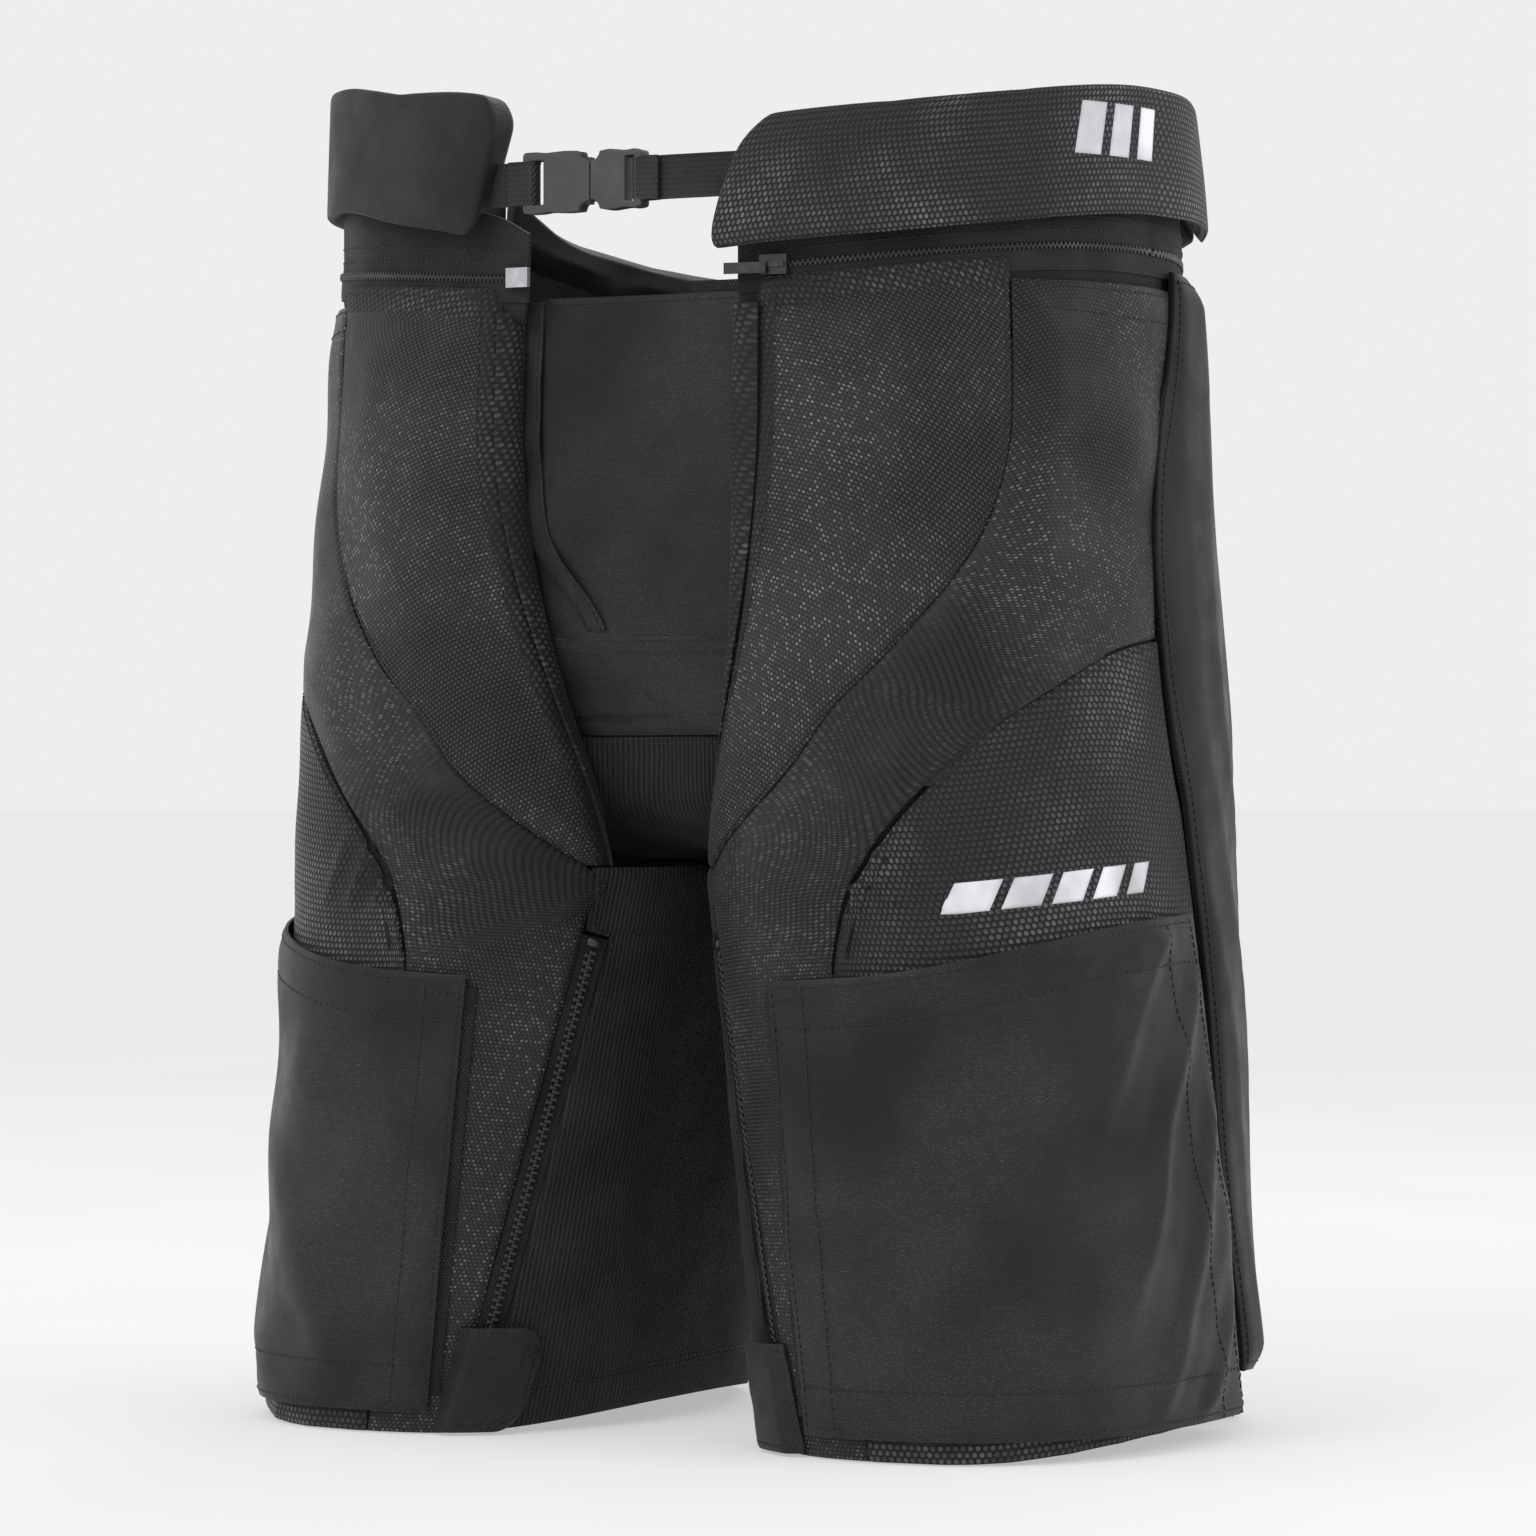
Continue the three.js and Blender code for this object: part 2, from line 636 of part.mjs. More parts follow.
function waistChain(s, t) {
  const q = lerp(WAIST_LEFT_U, WAIST_RIGHT_Q, s);
  return [q, chainRise(q) + lerp(-3, 3, t)];
}
const round = (patch, inner, outer) => ring(patch, inner, outer, RING_STEPS, 1);
add("waist_tape_lower", round(lowerTape, tapeFace - WAIST_TAPE, tapeFace), materials.webbing);
add("waist_tape_upper", round(upperTape, tapeFace - WAIST_TAPE, tapeFace), materials.webbing);
add("waist_zip_chain", round(waistChain, tapeFace + RUN_GAP, chainOut), materials.chain);

// The slider stands at the left front end, the pin and box at the right front end.
function waistFrame(side, u) {
  const z = chainRise(side > 0 ? u : 2 - u);
  const a = along(u, z);
  const up = new THREE.Vector3(0, 0, 1);
  const across = new THREE.Vector3(a.x, side * a.y, 0);
  const origin = surface(side, u, z, chainOut + RUN_GAP);
  return basisAt(across, up, origin);
}
const waistSliderU = WAIST_LEFT_U + 0.034;
const waistSlider = waistFrame(1, waistSliderU);
const slide = SLIDER_LENGTH / 2;
const waistShoe = joined(
  block([-slide, -SLIDER_WIDTH / 2, 0], [slide, SLIDER_WIDTH / 2, SLIDER_HEIGHT - 1]),
  block([-slide + 2, -1.2, 0.5], [slide - 1, 1.2, SLIDER_HEIGHT]),
);
add("waist_slider", toGeometry(waistShoe).applyMatrix4(waistSlider), materials.chain);
const waistPull = block(
  [-slide - PULL_LENGTH + 4, -PULL_WIDTH / 2 - PULL_DROP, SLIDER_HEIGHT + RUN_GAP],
  [-slide + 4, PULL_WIDTH / 2 - PULL_DROP, SLIDER_HEIGHT + RUN_GAP + PULL],
);
add("waist_pull", waistPull.applyMatrix4(waistSlider), materials.metal);
const pinBox = block([-4, -4.5, 0], [8, 4.5, 2.4]);
add("waist_pin_box", pinBox.applyMatrix4(waistFrame(-1, 0.122)), materials.metal);

// ---- Belt ---------------------------------------------------------------------------------------
const BELT_SPLIT = 0.62; // seam between a wing and the back of the belt
const leftEnd = (t) => lerp(0.1, 0.135, t ** 1.4);
const rightEnd = (t) => lerp(0.147, 0.125, t);
const leftBeltHeight = (u) =>
  lerp(BELT_HEIGHT, BELT_BACK_HEIGHT, smooth((u - 0.5) / 0.45));
// The right wing is highest at its front end and comes down to the back in less length.
const rightBeltHeight = (u) =>
  lerp(BELT_HEIGHT, BELT_BACK_HEIGHT, smooth((u - 0.5) / 0.2)) +
  BELT_FRONT_RISE * (1 - smooth((u - 0.14) / 0.16));
const beltHeight = (q) => (q < 1 ? leftBeltHeight(q) : rightBeltHeight(2 - q));
function beltZ(q, t, w) {
  const inset = (BELT_OUT - w) * BELT_SLANT;
  const foot = beltFoot(q);
  return lerp(foot + inset, foot + beltHeight(q), t);
}
const beltIn = BELT_OUT - BELT;

// A belt wing's block, inset on all sides by a wall; from and to are given at the front and the split.
function wing(side, end, wall, front, back, across) {
  const place = (s, t, w) => {
    const k = side > 0 ? s : 1 - s;
    const tip = end(t) + inU(0.13, heightOf(2.2), front);
    const u = lerp(tip, BELT_SPLIT + back, k);
    const q = side > 0 ? u : 2 - u;
    const low = beltZ(q, 0, w) + wall * 1.6;
    const high = beltZ(q, 1, w) - wall;
    return surface(side, u, lerp(low, high, t), w);
  };
  return slab(place, beltIn + wall, BELT_OUT - wall, across, 3);
}

function tip(side) {
  const end = side > 0 ? leftEnd : rightEnd;
  return surface(side, end(0.5), heightOf(2.17), -1);
}
const strapZ = heightOf(2) + STRAP_RISE;
const strapY = tip(1).y;
const leftTip = tip(1).x;
const rightTip = tip(-1).x;
const strapSlot = (low, high) =>
  block(
    [low, strapY - WEBBING / 2 - 0.5, strapZ - WEBBING_WIDTH / 2 - 0.5],
    [high, strapY + WEBBING / 2 + 0.5, strapZ + WEBBING_WIDTH / 2 + 0.5],
  );
for (const { side, tag } of SIDES) {
  const end = side > 0 ? leftEnd : rightEnd;
  const outer = toSolid(wing(side, end, 0, 0, 0, 16));
  const inner = wing(side, end, BELT_CLOTH, BELT_CLOTH * 2, 0.02, 16);
  const x = side > 0 ? [leftTip - 20, leftTip + 20] : [rightTip - 20, rightTip + 20];
  const shell = without(outer, inner, strapSlot(...x));
  add("belt_cover_" + tag, toGeometry(shell), materials.twill);
  const wall = BELT_CLOTH + PAD_GAP + RUN_GAP;
  const tuck = TUCK + (side > 0 ? BUCKLE_TRAVEL : 0) + 8;
  add("belt_foam_" + tag, wing(side, end, wall, tuck, -0.004, 14), materials.foam);
}
function backPatch(s, t, w) {
  const edge = BELT_SPLIT + 0.0015;
  const q = lerp(edge, 2 - edge, s);
  return [q, lerp(beltZ(q, 0, w), beltZ(q, 1, w), t)];
}
add("belt_back", ring(backPatch, beltIn, BELT_OUT, 18, 2), materials.twill);

// ---- Straps and buckle --------------------------------------------------------------------------
// A band of webbing: a path in plan with a thickness, as wide as the webbing.
function band(path) {
  const half = WEBBING / 2;
  const near = [];
  const far = [];
  path.forEach(([x, y], i) => {
    const before = path[Math.max(i - 1, 0)];
    const after = path[Math.min(i + 1, path.length - 1)];
    const dx = after[0] - before[0];
    const dy = after[1] - before[1];
    const reach = Math.hypot(dx, dy);
    near.push(new THREE.Vector2(x - (dy / reach) * half, y + (dx / reach) * half));
    far.unshift(new THREE.Vector2(x + (dy / reach) * half, y - (dx / reach) * half));
  });
  const shape = new THREE.Shape([...near, ...far]);
  const strip = new THREE.ExtrudeGeometry(shape, { depth: WEBBING_WIDTH, bevelEnabled: false });
  return strip.translate(0, 0, strapZ - WEBBING_WIDTH / 2);
}

// From inside a belt wing, round a buckle's bar and back along itself.
const loopRadius = BAR / 2 + 2.2 * RUN_GAP + WEBBING / 2;
function looped(from, bar, toward) {
  const path = [
    [from, strapY],
    [bar - toward * 12, strapY],
    [bar - toward * 5, strapY + loopRadius],
    [bar, strapY + loopRadius],
  ];
  for (let i = 1; i <= 6; i++) {
    const turn = (Math.PI * i) / 6;
    path.push([bar + toward * Math.sin(turn) * loopRadius, strapY + Math.cos(turn) * loopRadius]);
  }
  path.push([bar - toward * 10, strapY - loopRadius]);
  return path;
}

const socketEnd = rightTip + 13; // socket's webbing end
const socketBar = socketEnd + BAR / 2;
const mouth = socketEnd + SOCKET_LENGTH;
const plugStart = mouth + RUN_GAP;
const plugEnd = plugStart + PLUG_LENGTH;
const plugBar = plugEnd - BAR / 2;
const halfTall = BUCKLE_HEIGHT / 2;
const halfDeep = BUCKLE_DEPTH / 2;
const atBuckle = (low, high) =>
  block([low[0], strapY + low[1], strapZ + low[2]], [high[0], strapY + high[1], strapZ + high[2]]);
const slotWidth = 2 * loopRadius + WEBBING;
const rail = (halfTall - WEBBING_WIDTH / 2) - RUN_GAP;

// The webbing end of a buckle half: two rails and a bar across them.
function webbingEnd(bar, body) {
  const low = Math.min(bar - BAR / 2, body);
  const high = Math.max(bar + BAR / 2, body);
  return [
    atBuckle([low, -BAR / 2, -halfTall], [high, BAR / 2, -halfTall + rail]),
    atBuckle([low, -BAR / 2, halfTall - rail], [high, BAR / 2, halfTall]),
    atBuckle([bar - BAR / 2, -BAR / 2, -halfTall + 1], [bar + BAR / 2, BAR / 2, halfTall - 1]),
  ];
}

const socketBody = socketEnd + BAR / 2 + slotWidth;
const PRONG_HEIGHT = 3.4;
const PRONG_DEPTH = 3.6;
const PRONG_REACH = 17; // prong inside the socket
const POCKET_WALL = 1.8;
const socket = without(
  joined(
    ...webbingEnd(socketBar, socketBody + 1),
    atBuckle([socketBody, -halfDeep, -halfTall], [mouth, halfDeep, halfTall]),
  ),
  atBuckle(
    [mouth - PRONG_REACH - 2.5, -halfDeep + POCKET_WALL, -halfTall + POCKET_WALL],
    [mouth + 1, halfDeep - POCKET_WALL, halfTall - POCKET_WALL],
  ),
  atBuckle(
    [mouth - PRONG_REACH - 2.5, -halfDeep + POCKET_WALL, -halfTall - 1],
    [mouth - PRONG_REACH + 9, halfDeep - POCKET_WALL, halfTall + 1],
  ),
);
add("buckle_socket", toGeometry(socket), materials.buckle);

const plugBody = plugEnd - BAR / 2 - slotWidth;
const tongueHalf = 3;
const plug = joined(
  ...webbingEnd(plugBar, plugBody - 1),
  atBuckle([plugStart, -halfDeep, -halfTall], [plugBody, halfDeep, halfTall]),
  atBuckle(
    [mouth - PRONG_REACH + 2, -PRONG_DEPTH / 2, -tongueHalf],
    [plugStart + 1, PRONG_DEPTH / 2, tongueHalf],
  ),
);
add("buckle_plug", toGeometry(plug), materials.buckle);

// Each prong has an arm and a head that stands out through the socket's side window.
for (const { side, tag } of [
  { side: 1, tag: "top" },
  { side: -1, tag: "bottom" },
]) {
  const span = (low, high, x0, x1) => {
    const z = [side * low, side * high].sort((a, b) => a - b);
    return atBuckle([x0, -PRONG_DEPTH / 2, z[0]], [x1, PRONG_DEPTH / 2, z[1]]);
  };
  const armLow = halfTall - POCKET_WALL - 1 - PRONG_HEIGHT;
  const armHigh = armLow + PRONG_HEIGHT;
  const prong = joined(
    span(armLow, armHigh, mouth - PRONG_REACH, plugStart - RUN_GAP),
    span(armHigh - 1, halfTall - 0.3, mouth - PRONG_REACH, mouth - PRONG_REACH + 8),
  );
  add("buckle_prong_" + tag, toGeometry(prong), materials.buckle);
}
add("strap_right", band(looped(rightTip - TUCK, socketBar, 1)), materials.webbing);
add("strap_left", band(looped(leftTip + TUCK, plugBar, -1)), materials.webbing);

// The origin is the middle of the footprint.
const box = new THREE.Box3().setFromObject(pants);
const middle = box.getCenter(new THREE.Vector3());
pants.position.set(-middle.x, -middle.y, -box.min.z);

export default pants;
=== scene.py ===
"""Ice hockey pants: the looks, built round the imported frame. Blender is in metres, the garment in millimetres."""
import json
import math

import bmesh
import bpy
import numpy as np
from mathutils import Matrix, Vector
from mathutils.bvhtree import BVHTree

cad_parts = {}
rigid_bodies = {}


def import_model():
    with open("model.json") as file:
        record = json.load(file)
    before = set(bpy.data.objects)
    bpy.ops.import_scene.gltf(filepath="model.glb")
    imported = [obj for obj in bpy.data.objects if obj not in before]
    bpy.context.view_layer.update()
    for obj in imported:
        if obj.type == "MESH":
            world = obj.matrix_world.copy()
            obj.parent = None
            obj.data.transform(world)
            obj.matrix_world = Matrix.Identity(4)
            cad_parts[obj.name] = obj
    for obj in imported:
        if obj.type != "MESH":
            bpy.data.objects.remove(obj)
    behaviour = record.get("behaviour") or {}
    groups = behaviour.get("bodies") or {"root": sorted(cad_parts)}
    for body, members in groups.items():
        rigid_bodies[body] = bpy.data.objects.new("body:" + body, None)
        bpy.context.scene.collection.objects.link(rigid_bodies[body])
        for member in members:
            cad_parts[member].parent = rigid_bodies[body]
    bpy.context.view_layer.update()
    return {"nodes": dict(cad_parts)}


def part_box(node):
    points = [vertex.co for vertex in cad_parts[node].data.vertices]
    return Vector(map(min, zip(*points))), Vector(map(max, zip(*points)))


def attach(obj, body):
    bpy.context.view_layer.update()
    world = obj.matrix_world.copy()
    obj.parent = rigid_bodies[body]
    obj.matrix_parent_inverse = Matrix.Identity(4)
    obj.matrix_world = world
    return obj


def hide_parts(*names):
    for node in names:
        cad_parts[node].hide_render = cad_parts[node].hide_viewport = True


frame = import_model()
MM = 0.001
FRAME_Y = 2.389  # the garment's own axis ahead of the frame's origin, mm
SIDES = ((1, "left"), (-1, "right"))

# ---- Camera ----
CAMERA_AZIMUTH, CAMERA_HEIGHT, CAMERA_DISTANCE = math.radians(28), 0.307, 2.8
camera = bpy.data.objects.new("camera", bpy.data.cameras.new("camera"))
bpy.context.scene.collection.objects.link(camera)
camera.location = (
    CAMERA_DISTANCE * math.sin(CAMERA_AZIMUTH),
    FRAME_Y * MM - CAMERA_DISTANCE * math.cos(CAMERA_AZIMUTH),
    CAMERA_HEIGHT,
)
camera.rotation_euler = (math.pi / 2, 0, CAMERA_AZIMUTH)
camera.data.lens = 138.47
camera.data.sensor_width = 36
camera.data.shift_x = 0.0078
bpy.context.scene.camera = camera


# ---- The garment's surface, as the CAD has it ----
INSEAM, RISE, SIDE_RISE, BACK_DROP, HEM_RISE, HEM_FLAT = 262, 264, 13, 50, 9, 0.3
HEM_HALF_WIDTH, HEM_HALF_DEPTH, HEM_GAP = 99, 140, 70
CROTCH_HALF_WIDTH, CROTCH_HALF_DEPTH, CROTCH_GAP = 108, 137, 6
HIP_HALF_WIDTH, HIP_HALF_DEPTH, WAIST_HALF_WIDTH, WAIST_HALF_DEPTH = 222, 138, 208, 130
LEG_SQUARENESS, WAIST_SQUARENESS = 2.35, 2.6
CLOTH, SEAM_GAP, PAD_DEPTH, FLY_RECESS = 1.8, 0.7, -17.4, 16.5


def lerp(a, b, t):
    return a + (b - a) * t


def smooth(t):
    t = np.clip(t, 0, 1)
    return t * t * (3 - 2 * t)


def power(c, n):
    return np.sign(c) * np.abs(c) ** (2 / n)


def through(points):
    """A smooth line through a few (position, value) points, flat beyond its ends."""
    xs, ys = (np.array(v, float) for v in zip(*points))
    before = np.maximum(np.arange(len(xs)) - 1, 0)
    after = np.minimum(np.arange(len(xs)) + 1, len(xs) - 1)
    slopes = (ys[after] - ys[before]) / (xs[after] - xs[before])

    def at(x):
        x = np.clip(np.asarray(x, float), xs[0], xs[-1])
        i = np.clip(np.searchsorted(xs, x, side="right") - 1, 0, len(xs) - 2)
        h = xs[i + 1] - xs[i]
        t = (x - xs[i]) / h
        rest = 1 - t
        return (
            ys[i] * (1 + 2 * t) * rest * rest
            + ys[i + 1] * t * t * (3 - 2 * t)
            + h * slopes[i] * t * rest * rest
            - h * slopes[i + 1] * t * t * rest
        )

    return at


def level_of(z):
    return np.where(z < INSEAM, z / INSEAM, 1 + (z - INSEAM) / RISE)


def height_of(level):
    return np.where(level < 1, level * INSEAM, INSEAM + (level - 1) * RISE)


def section(u, z):
    """One half's outline at height z: u runs 0 inner or centre front, 0.25 front, 0.5 side, 0.75 back, 1."""
    level = level_of(z)
    down = np.clip(level, 0, 1)
    half = lerp(HEM_HALF_WIDTH, CROTCH_HALF_WIDTH, down)
    centre = half + lerp(HEM_GAP, CROTCH_GAP, down) / 2
    turn = 2 * np.pi * u
    leg_x = centre - half * power(np.cos(turn), LEG_SQUARENESS)
    leg_y = -lerp(HEM_HALF_DEPTH, CROTCH_HALF_DEPTH, down) * power(np.sin(turn), LEG_SQUARENESS)
    t = smooth((level - 1) / lerp(0.784, 0.34, smooth((u - 0.5) / 0.3)))
    up = np.clip(level - 1, 0, 1.4)
    turn = (np.pi / 2) * (2 * np.maximum(np.where(u < 0.5, u, 1 - u), 0)) ** 1.5
    x = lerp(HIP_HALF_WIDTH, WAIST_HALF_WIDTH, up) * power(np.sin(turn), WAIST_SQUARENESS)
    y = lerp(HIP_HALF_DEPTH, WAIST_HALF_DEPTH, up) * power(np.cos(turn), WAIST_SQUARENESS)
    return lerp(leg_x, x, t), lerp(leg_y, np.where(u < 0.5, -y, y), t)


def along(u, z):
    x1, y1 = section(u + 1e-3, z)
    x0, y0 = section(u - 1e-3, z)
    reach = np.hypot(x1 - x0, y1 - y0)
    return (x1 - x0) / reach, (y1 - y0) / reach, reach / 2e-3


def surface(side, u, z, w=0.0):
    """Points in metres, out from the garment's surface by w millimetres."""
    u, z = np.asarray(u, float), np.asarray(z, float)
    x, y = section(u, z)
    ax, ay, _ = along(u, z)
    return np.stack([side * (x + ay * w), y - ax * w + FRAME_Y, z + 0 * x], -1) * MM


def in_u(u, z, mm):
    return mm / along(np.asarray(u, float), np.asarray(z, float))[2]


def waist_edge(u):
    return height_of(2.0) + SIDE_RISE * smooth(u / 0.5) - BACK_DROP * smooth((u - 0.5) / 0.5)


def hem_edge(u):
    return HEM_RISE * np.maximum(0, (np.abs(np.cos(2 * np.pi * u)) - HEM_FLAT) / (1 - HEM_FLAT)) ** 2


MESH_EDGE, MESH_CORNER, MESH_TOP, ZIP_ROWS, MESH_ROWS = 0.247, 0.84, 0.484, 0.41, 0.76
HIP_BACK, KNIT_BACK = 0.63, -0.1
pad_edge = through([(0.95, 0.105), (1.14, 0.12), (1.3, 0.13), (1.52, 0.136), (2, 0.138)])
cover_seam = through(
    [(0.965, 0.107), (1.02, 0.145), (1.09, 0.185), (1.17, 0.218), (1.28, 0.243)]
    + [(1.39, 0.275), (1.5, 0.31), (1.61, 0.335), (1.74, 0.35), (2, 0.354)]
)
mesh_seam = through(
    [(0.247, MESH_CORNER), (0.253, 0.94), (0.267, 1.02), (0.288, 1.1), (0.318, 1.18)]
    + [(0.35, 1.25), (0.39, 1.31), (0.44, 1.37), (0.5, 1.4)]
)
side_seam = through([(0, 0.545), (0.9, 0.512), (1.28, 0.487), (1.52, 0.485), (2, 0.514)])
ZIP_FOOT_U, ZIP_HEAD_U, ZIP_FOOT, ZIP_HEAD, ZIP_WIDTH = 0.177, 0.118, 3, 228.7, 12.4


def zip_u(z):
    return lerp(ZIP_FOOT_U, ZIP_HEAD_U, (z - ZIP_FOOT) / (ZIP_HEAD - ZIP_FOOT))


def cover_patch(s, t):
    level = lerp(1.0, 1.985, t**1.15)
    seam = cover_seam(level)
    u = lerp(pad_edge(level), seam - in_u(seam, height_of(level), SEAM_GAP), s)
    top = smooth((t - 0.8) / 0.2)
    return u, lerp(height_of(level), waist_edge(u) - 1, top)


def mid_patch(s, t):
    above = (t - ZIP_ROWS) / (1 - ZIP_ROWS)
    level = np.where(above < 0, (t / ZIP_ROWS) * 0.93, lerp(0.965, 2, above))
    z0 = height_of(level)
    u0 = np.where(above >= 0, cover_seam(level), zip_u(z0) + in_u(zip_u(z0), z0, ZIP_WIDTH / 2 + SEAM_GAP))
    turn = np.clip((t - ZIP_ROWS) / (MESH_ROWS - ZIP_ROWS), 0, 1)
    seam_u = lerp(MESH_EDGE, MESH_TOP, turn**1.3)
    level = lerp(1.4, 2, (t - MESH_ROWS) / (1 - MESH_ROWS))
    low, high = t < ZIP_ROWS, t > MESH_ROWS
    u1 = np.where(low, MESH_EDGE, np.where(high, side_seam(level), seam_u))
    z1 = np.where(
        low, height_of((t / ZIP_ROWS) * MESH_CORNER),
        np.where(high, height_of(level), height_of(mesh_seam(seam_u))),
    )
    z = lerp(z0, z1, s)
    u = lerp(u0, u1 - in_u(u1, z1, SEAM_GAP), s)
    return u, np.clip(z, hem_edge(u), waist_edge(u) - 1)


def mesh_patch(s, t):
    seam = side_seam(lerp(0, 1.35, t))
    u = lerp(MESH_EDGE, seam - in_u(0.5, INSEAM, SEAM_GAP), s)
    top = height_of(mesh_seam(u)) - SEAM_GAP * (2 + 6 * (1 - s) ** 4)
    return u, lerp(hem_edge(u), top, t)


def hip_patch(s, t):
    u = lerp(side_seam(lerp(0, 2, t)), HIP_BACK, s)
    return u, lerp(hem_edge(u) + 20, waist_edge(u) - 4, t)


def seat_patch(s, t):
    u = lerp(HIP_BACK + 0.0015, 1 - in_u(0.99, 400, SEAM_GAP / 2), s)
    return u, lerp(INSEAM + SEAM_GAP, waist_edge(u) - 1, t**1.5)


def leg_back_patch(s, t):
    u = lerp(HIP_BACK + 0.0015, 1 + KNIT_BACK, s)
    return u, lerp(hem_edge(u), INSEAM, t)


def knit_patch(s, t):
    z = lerp(0, INSEAM - 1, t)
    front = zip_u(z) - in_u(zip_u(z), z, ZIP_WIDTH / 2 + 2 * SEAM_GAP)
    front = np.where(z > ZIP_HEAD, zip_u(ZIP_HEAD) + 0.006, front)
    u = lerp(KNIT_BACK + 0.001, front, s)
    return u, lerp(hem_edge(u), INSEAM - 1, t)


FLAP_FREE, FLAP_FOOT, FLAP_TOP = 0.205, 12, 238


def flap_patch(s, t):
    seam = side_seam(level_of(lerp(FLAP_FOOT, FLAP_TOP, t))) - 0.01
    u = lerp(FLAP_FREE, seam, s)
    return u, lerp(FLAP_FOOT - 2, FLAP_TOP + lerp(-26, 2, smooth((u - FLAP_FREE) / 0.3)), t)


def hook_patch(s, t):
    z = lerp(FLAP_FOOT + 6, FLAP_TOP - 32, t)
    return FLAP_FREE + in_u(FLAP_FREE, z, s * 20 - 5), z


TAB_TOP, TAB_LENGTH, TAB_ROOT = 49, 40, 14  # the root lies this far behind the zip


def tab_patch(s, t):
    z = lerp(1, TAB_TOP, t)
    root = zip_u(z) + in_u(zip_u(z), z, TAB_ROOT)
    return root - in_u(root, z, (1 - s) * TAB_LENGTH), z


def side_wall_line(t):
    level = lerp(1.0, 1.965, t)
    return pad_edge(level), height_of(level)


# ---- Materials ----
class Graph:
    """A short way to wire a material's nodes."""

    def __init__(self, name, base, roughness, sheen=0.0, specular=0.5, metallic=0.0, coat=0.0):
        self.material = bpy.data.materials.new(name)
        self.material.use_nodes = True
        self.tree = self.material.node_tree
        self.shader = self.tree.nodes["Principled BSDF"]
        put = self.shader.inputs
        put["Base Color"].default_value = (*base, 1)
        put["Roughness"].default_value = roughness
        put["Sheen Weight"].default_value = sheen
        put["Sheen Roughness"].default_value = 0.45
        put["Specular IOR Level"].default_value = specular
        put["Metallic"].default_value = metallic
        put["Coat Weight"].default_value = coat

    def node(self, kind, **values):
        made = self.tree.nodes.new(kind)
        for key, value in values.items():
            setattr(made, key, value)
        return made

    def wire(self, value, socket):
        if isinstance(value, bpy.types.NodeSocket):
            self.tree.links.new(value, socket)
        else:
            socket.default_value = value

    def math(self, operation, *values):
        made = self.node("ShaderNodeMath", operation=operation)
        for value, socket in zip(values, made.inputs):
            self.wire(value, socket)
        return made.outputs[0]

    def times(self, a, b):
        return self.math("MULTIPLY", a, b)

    def plus(self, a, b):
        return self.math("ADD", a, b)

    def ramp(self, value, low, high, to_low=0.0, to_high=1.0):
        made = self.node("ShaderNodeMapRange", interpolation_type="SMOOTHSTEP")
        for i, v in enumerate((value, low, high, to_low, to_high)):
            self.wire(v, made.inputs[i])
        return made.outputs[0]

    def noise(self, scale, detail):
        made = self.node("ShaderNodeTexNoise")
        made.inputs["Scale"].default_value = scale
        made.inputs["Detail"].default_value = detail
        self.wire(self.node("ShaderNodeTexCoord").outputs["Object"], made.inputs["Vector"])
        return made.outputs["Fac"]

    def uv(self):
        parts = self.node("ShaderNodeSeparateXYZ")
        self.wire(self.node("ShaderNodeUVMap", uv_map="weave").outputs[0], parts.inputs[0])
        return parts.outputs[0], parts.outputs[1]

    def cells(self, pitch, row, turn, squash=1.0):
        """Distance from the middle of staggered cells, 0 to about 0.6; turn rotates the pattern."""
        u, v = self.uv()
        if turn:
            c, s = math.cos(turn), math.sin(turn)
            turned = self.plus(self.times(u, c), self.times(v, s))
            u, v = turned, self.math("SUBTRACT", self.times(v, c), self.times(u, s))
        rows = self.math("DIVIDE", v, row)
        odd = self.math("MODULO", self.math("ABSOLUTE", self.math("FLOOR", rows)), 2.0)
        across = self.plus(self.math("DIVIDE", u, pitch), self.times(odd, 0.5))
        self.cell = (self.math("FLOOR", across), self.math("FLOOR", rows))
        dx = self.math("SUBTRACT", self.math("FRACT", across), 0.5)
        dy = self.times(self.math("SUBTRACT", self.math("FRACT", rows), 0.5), squash * row / pitch)
        return self.math("SQRT", self.plus(self.times(dx, dx), self.times(dy, dy)))

    def sparkle(self, share):
        """1 on a random share of the last cells made, where a float lies just right for the light."""
        place = self.node("ShaderNodeCombineXYZ")
        for value, socket in zip(self.cell, place.inputs):
            self.wire(value, socket)
        chance = self.node("ShaderNodeTexWhiteNoise", noise_dimensions="2D")
        self.wire(place.outputs[0], chance.inputs["Vector"])
        return self.ramp(chance.outputs["Value"], 1 - share, 1.0)

    def ribs(self, pitch, axis, slant=0.0):
        u, v = self.uv()
        lead, other = (u, v) if axis == 0 else (v, u)
        if slant:
            lead = self.plus(lead, self.times(other, slant))
        return self.math("SINE", self.times(lead, 2 * math.pi / pitch))

    def bump(self, height, distance, strength, under=None):
        made = self.node("ShaderNodeBump")
        made.inputs["Distance"].default_value = distance
        made.inputs["Strength"].default_value = strength
        self.wire(height, made.inputs["Height"])
        if under is not None:
            self.wire(under, made.inputs["Normal"])
        return made.outputs[0]

    def mix(self, share, a, b):
        made = self.node("ShaderNodeMix", data_type="RGBA")
        self.wire(share, made.inputs[0])
        for value, socket in ((a, made.inputs[6]), (b, made.inputs[7])):
            self.wire(value if isinstance(value, bpy.types.NodeSocket) else (*value, 1), socket)
        return made.outputs[2]

    def finish(self, colour=None, roughness=None, normal=None):
        for value, name in ((colour, "Base Color"), (roughness, "Roughness"), (normal, "Normal")):
            if value is not None:
                self.wire(value, self.shader.inputs[name])
        return self.material


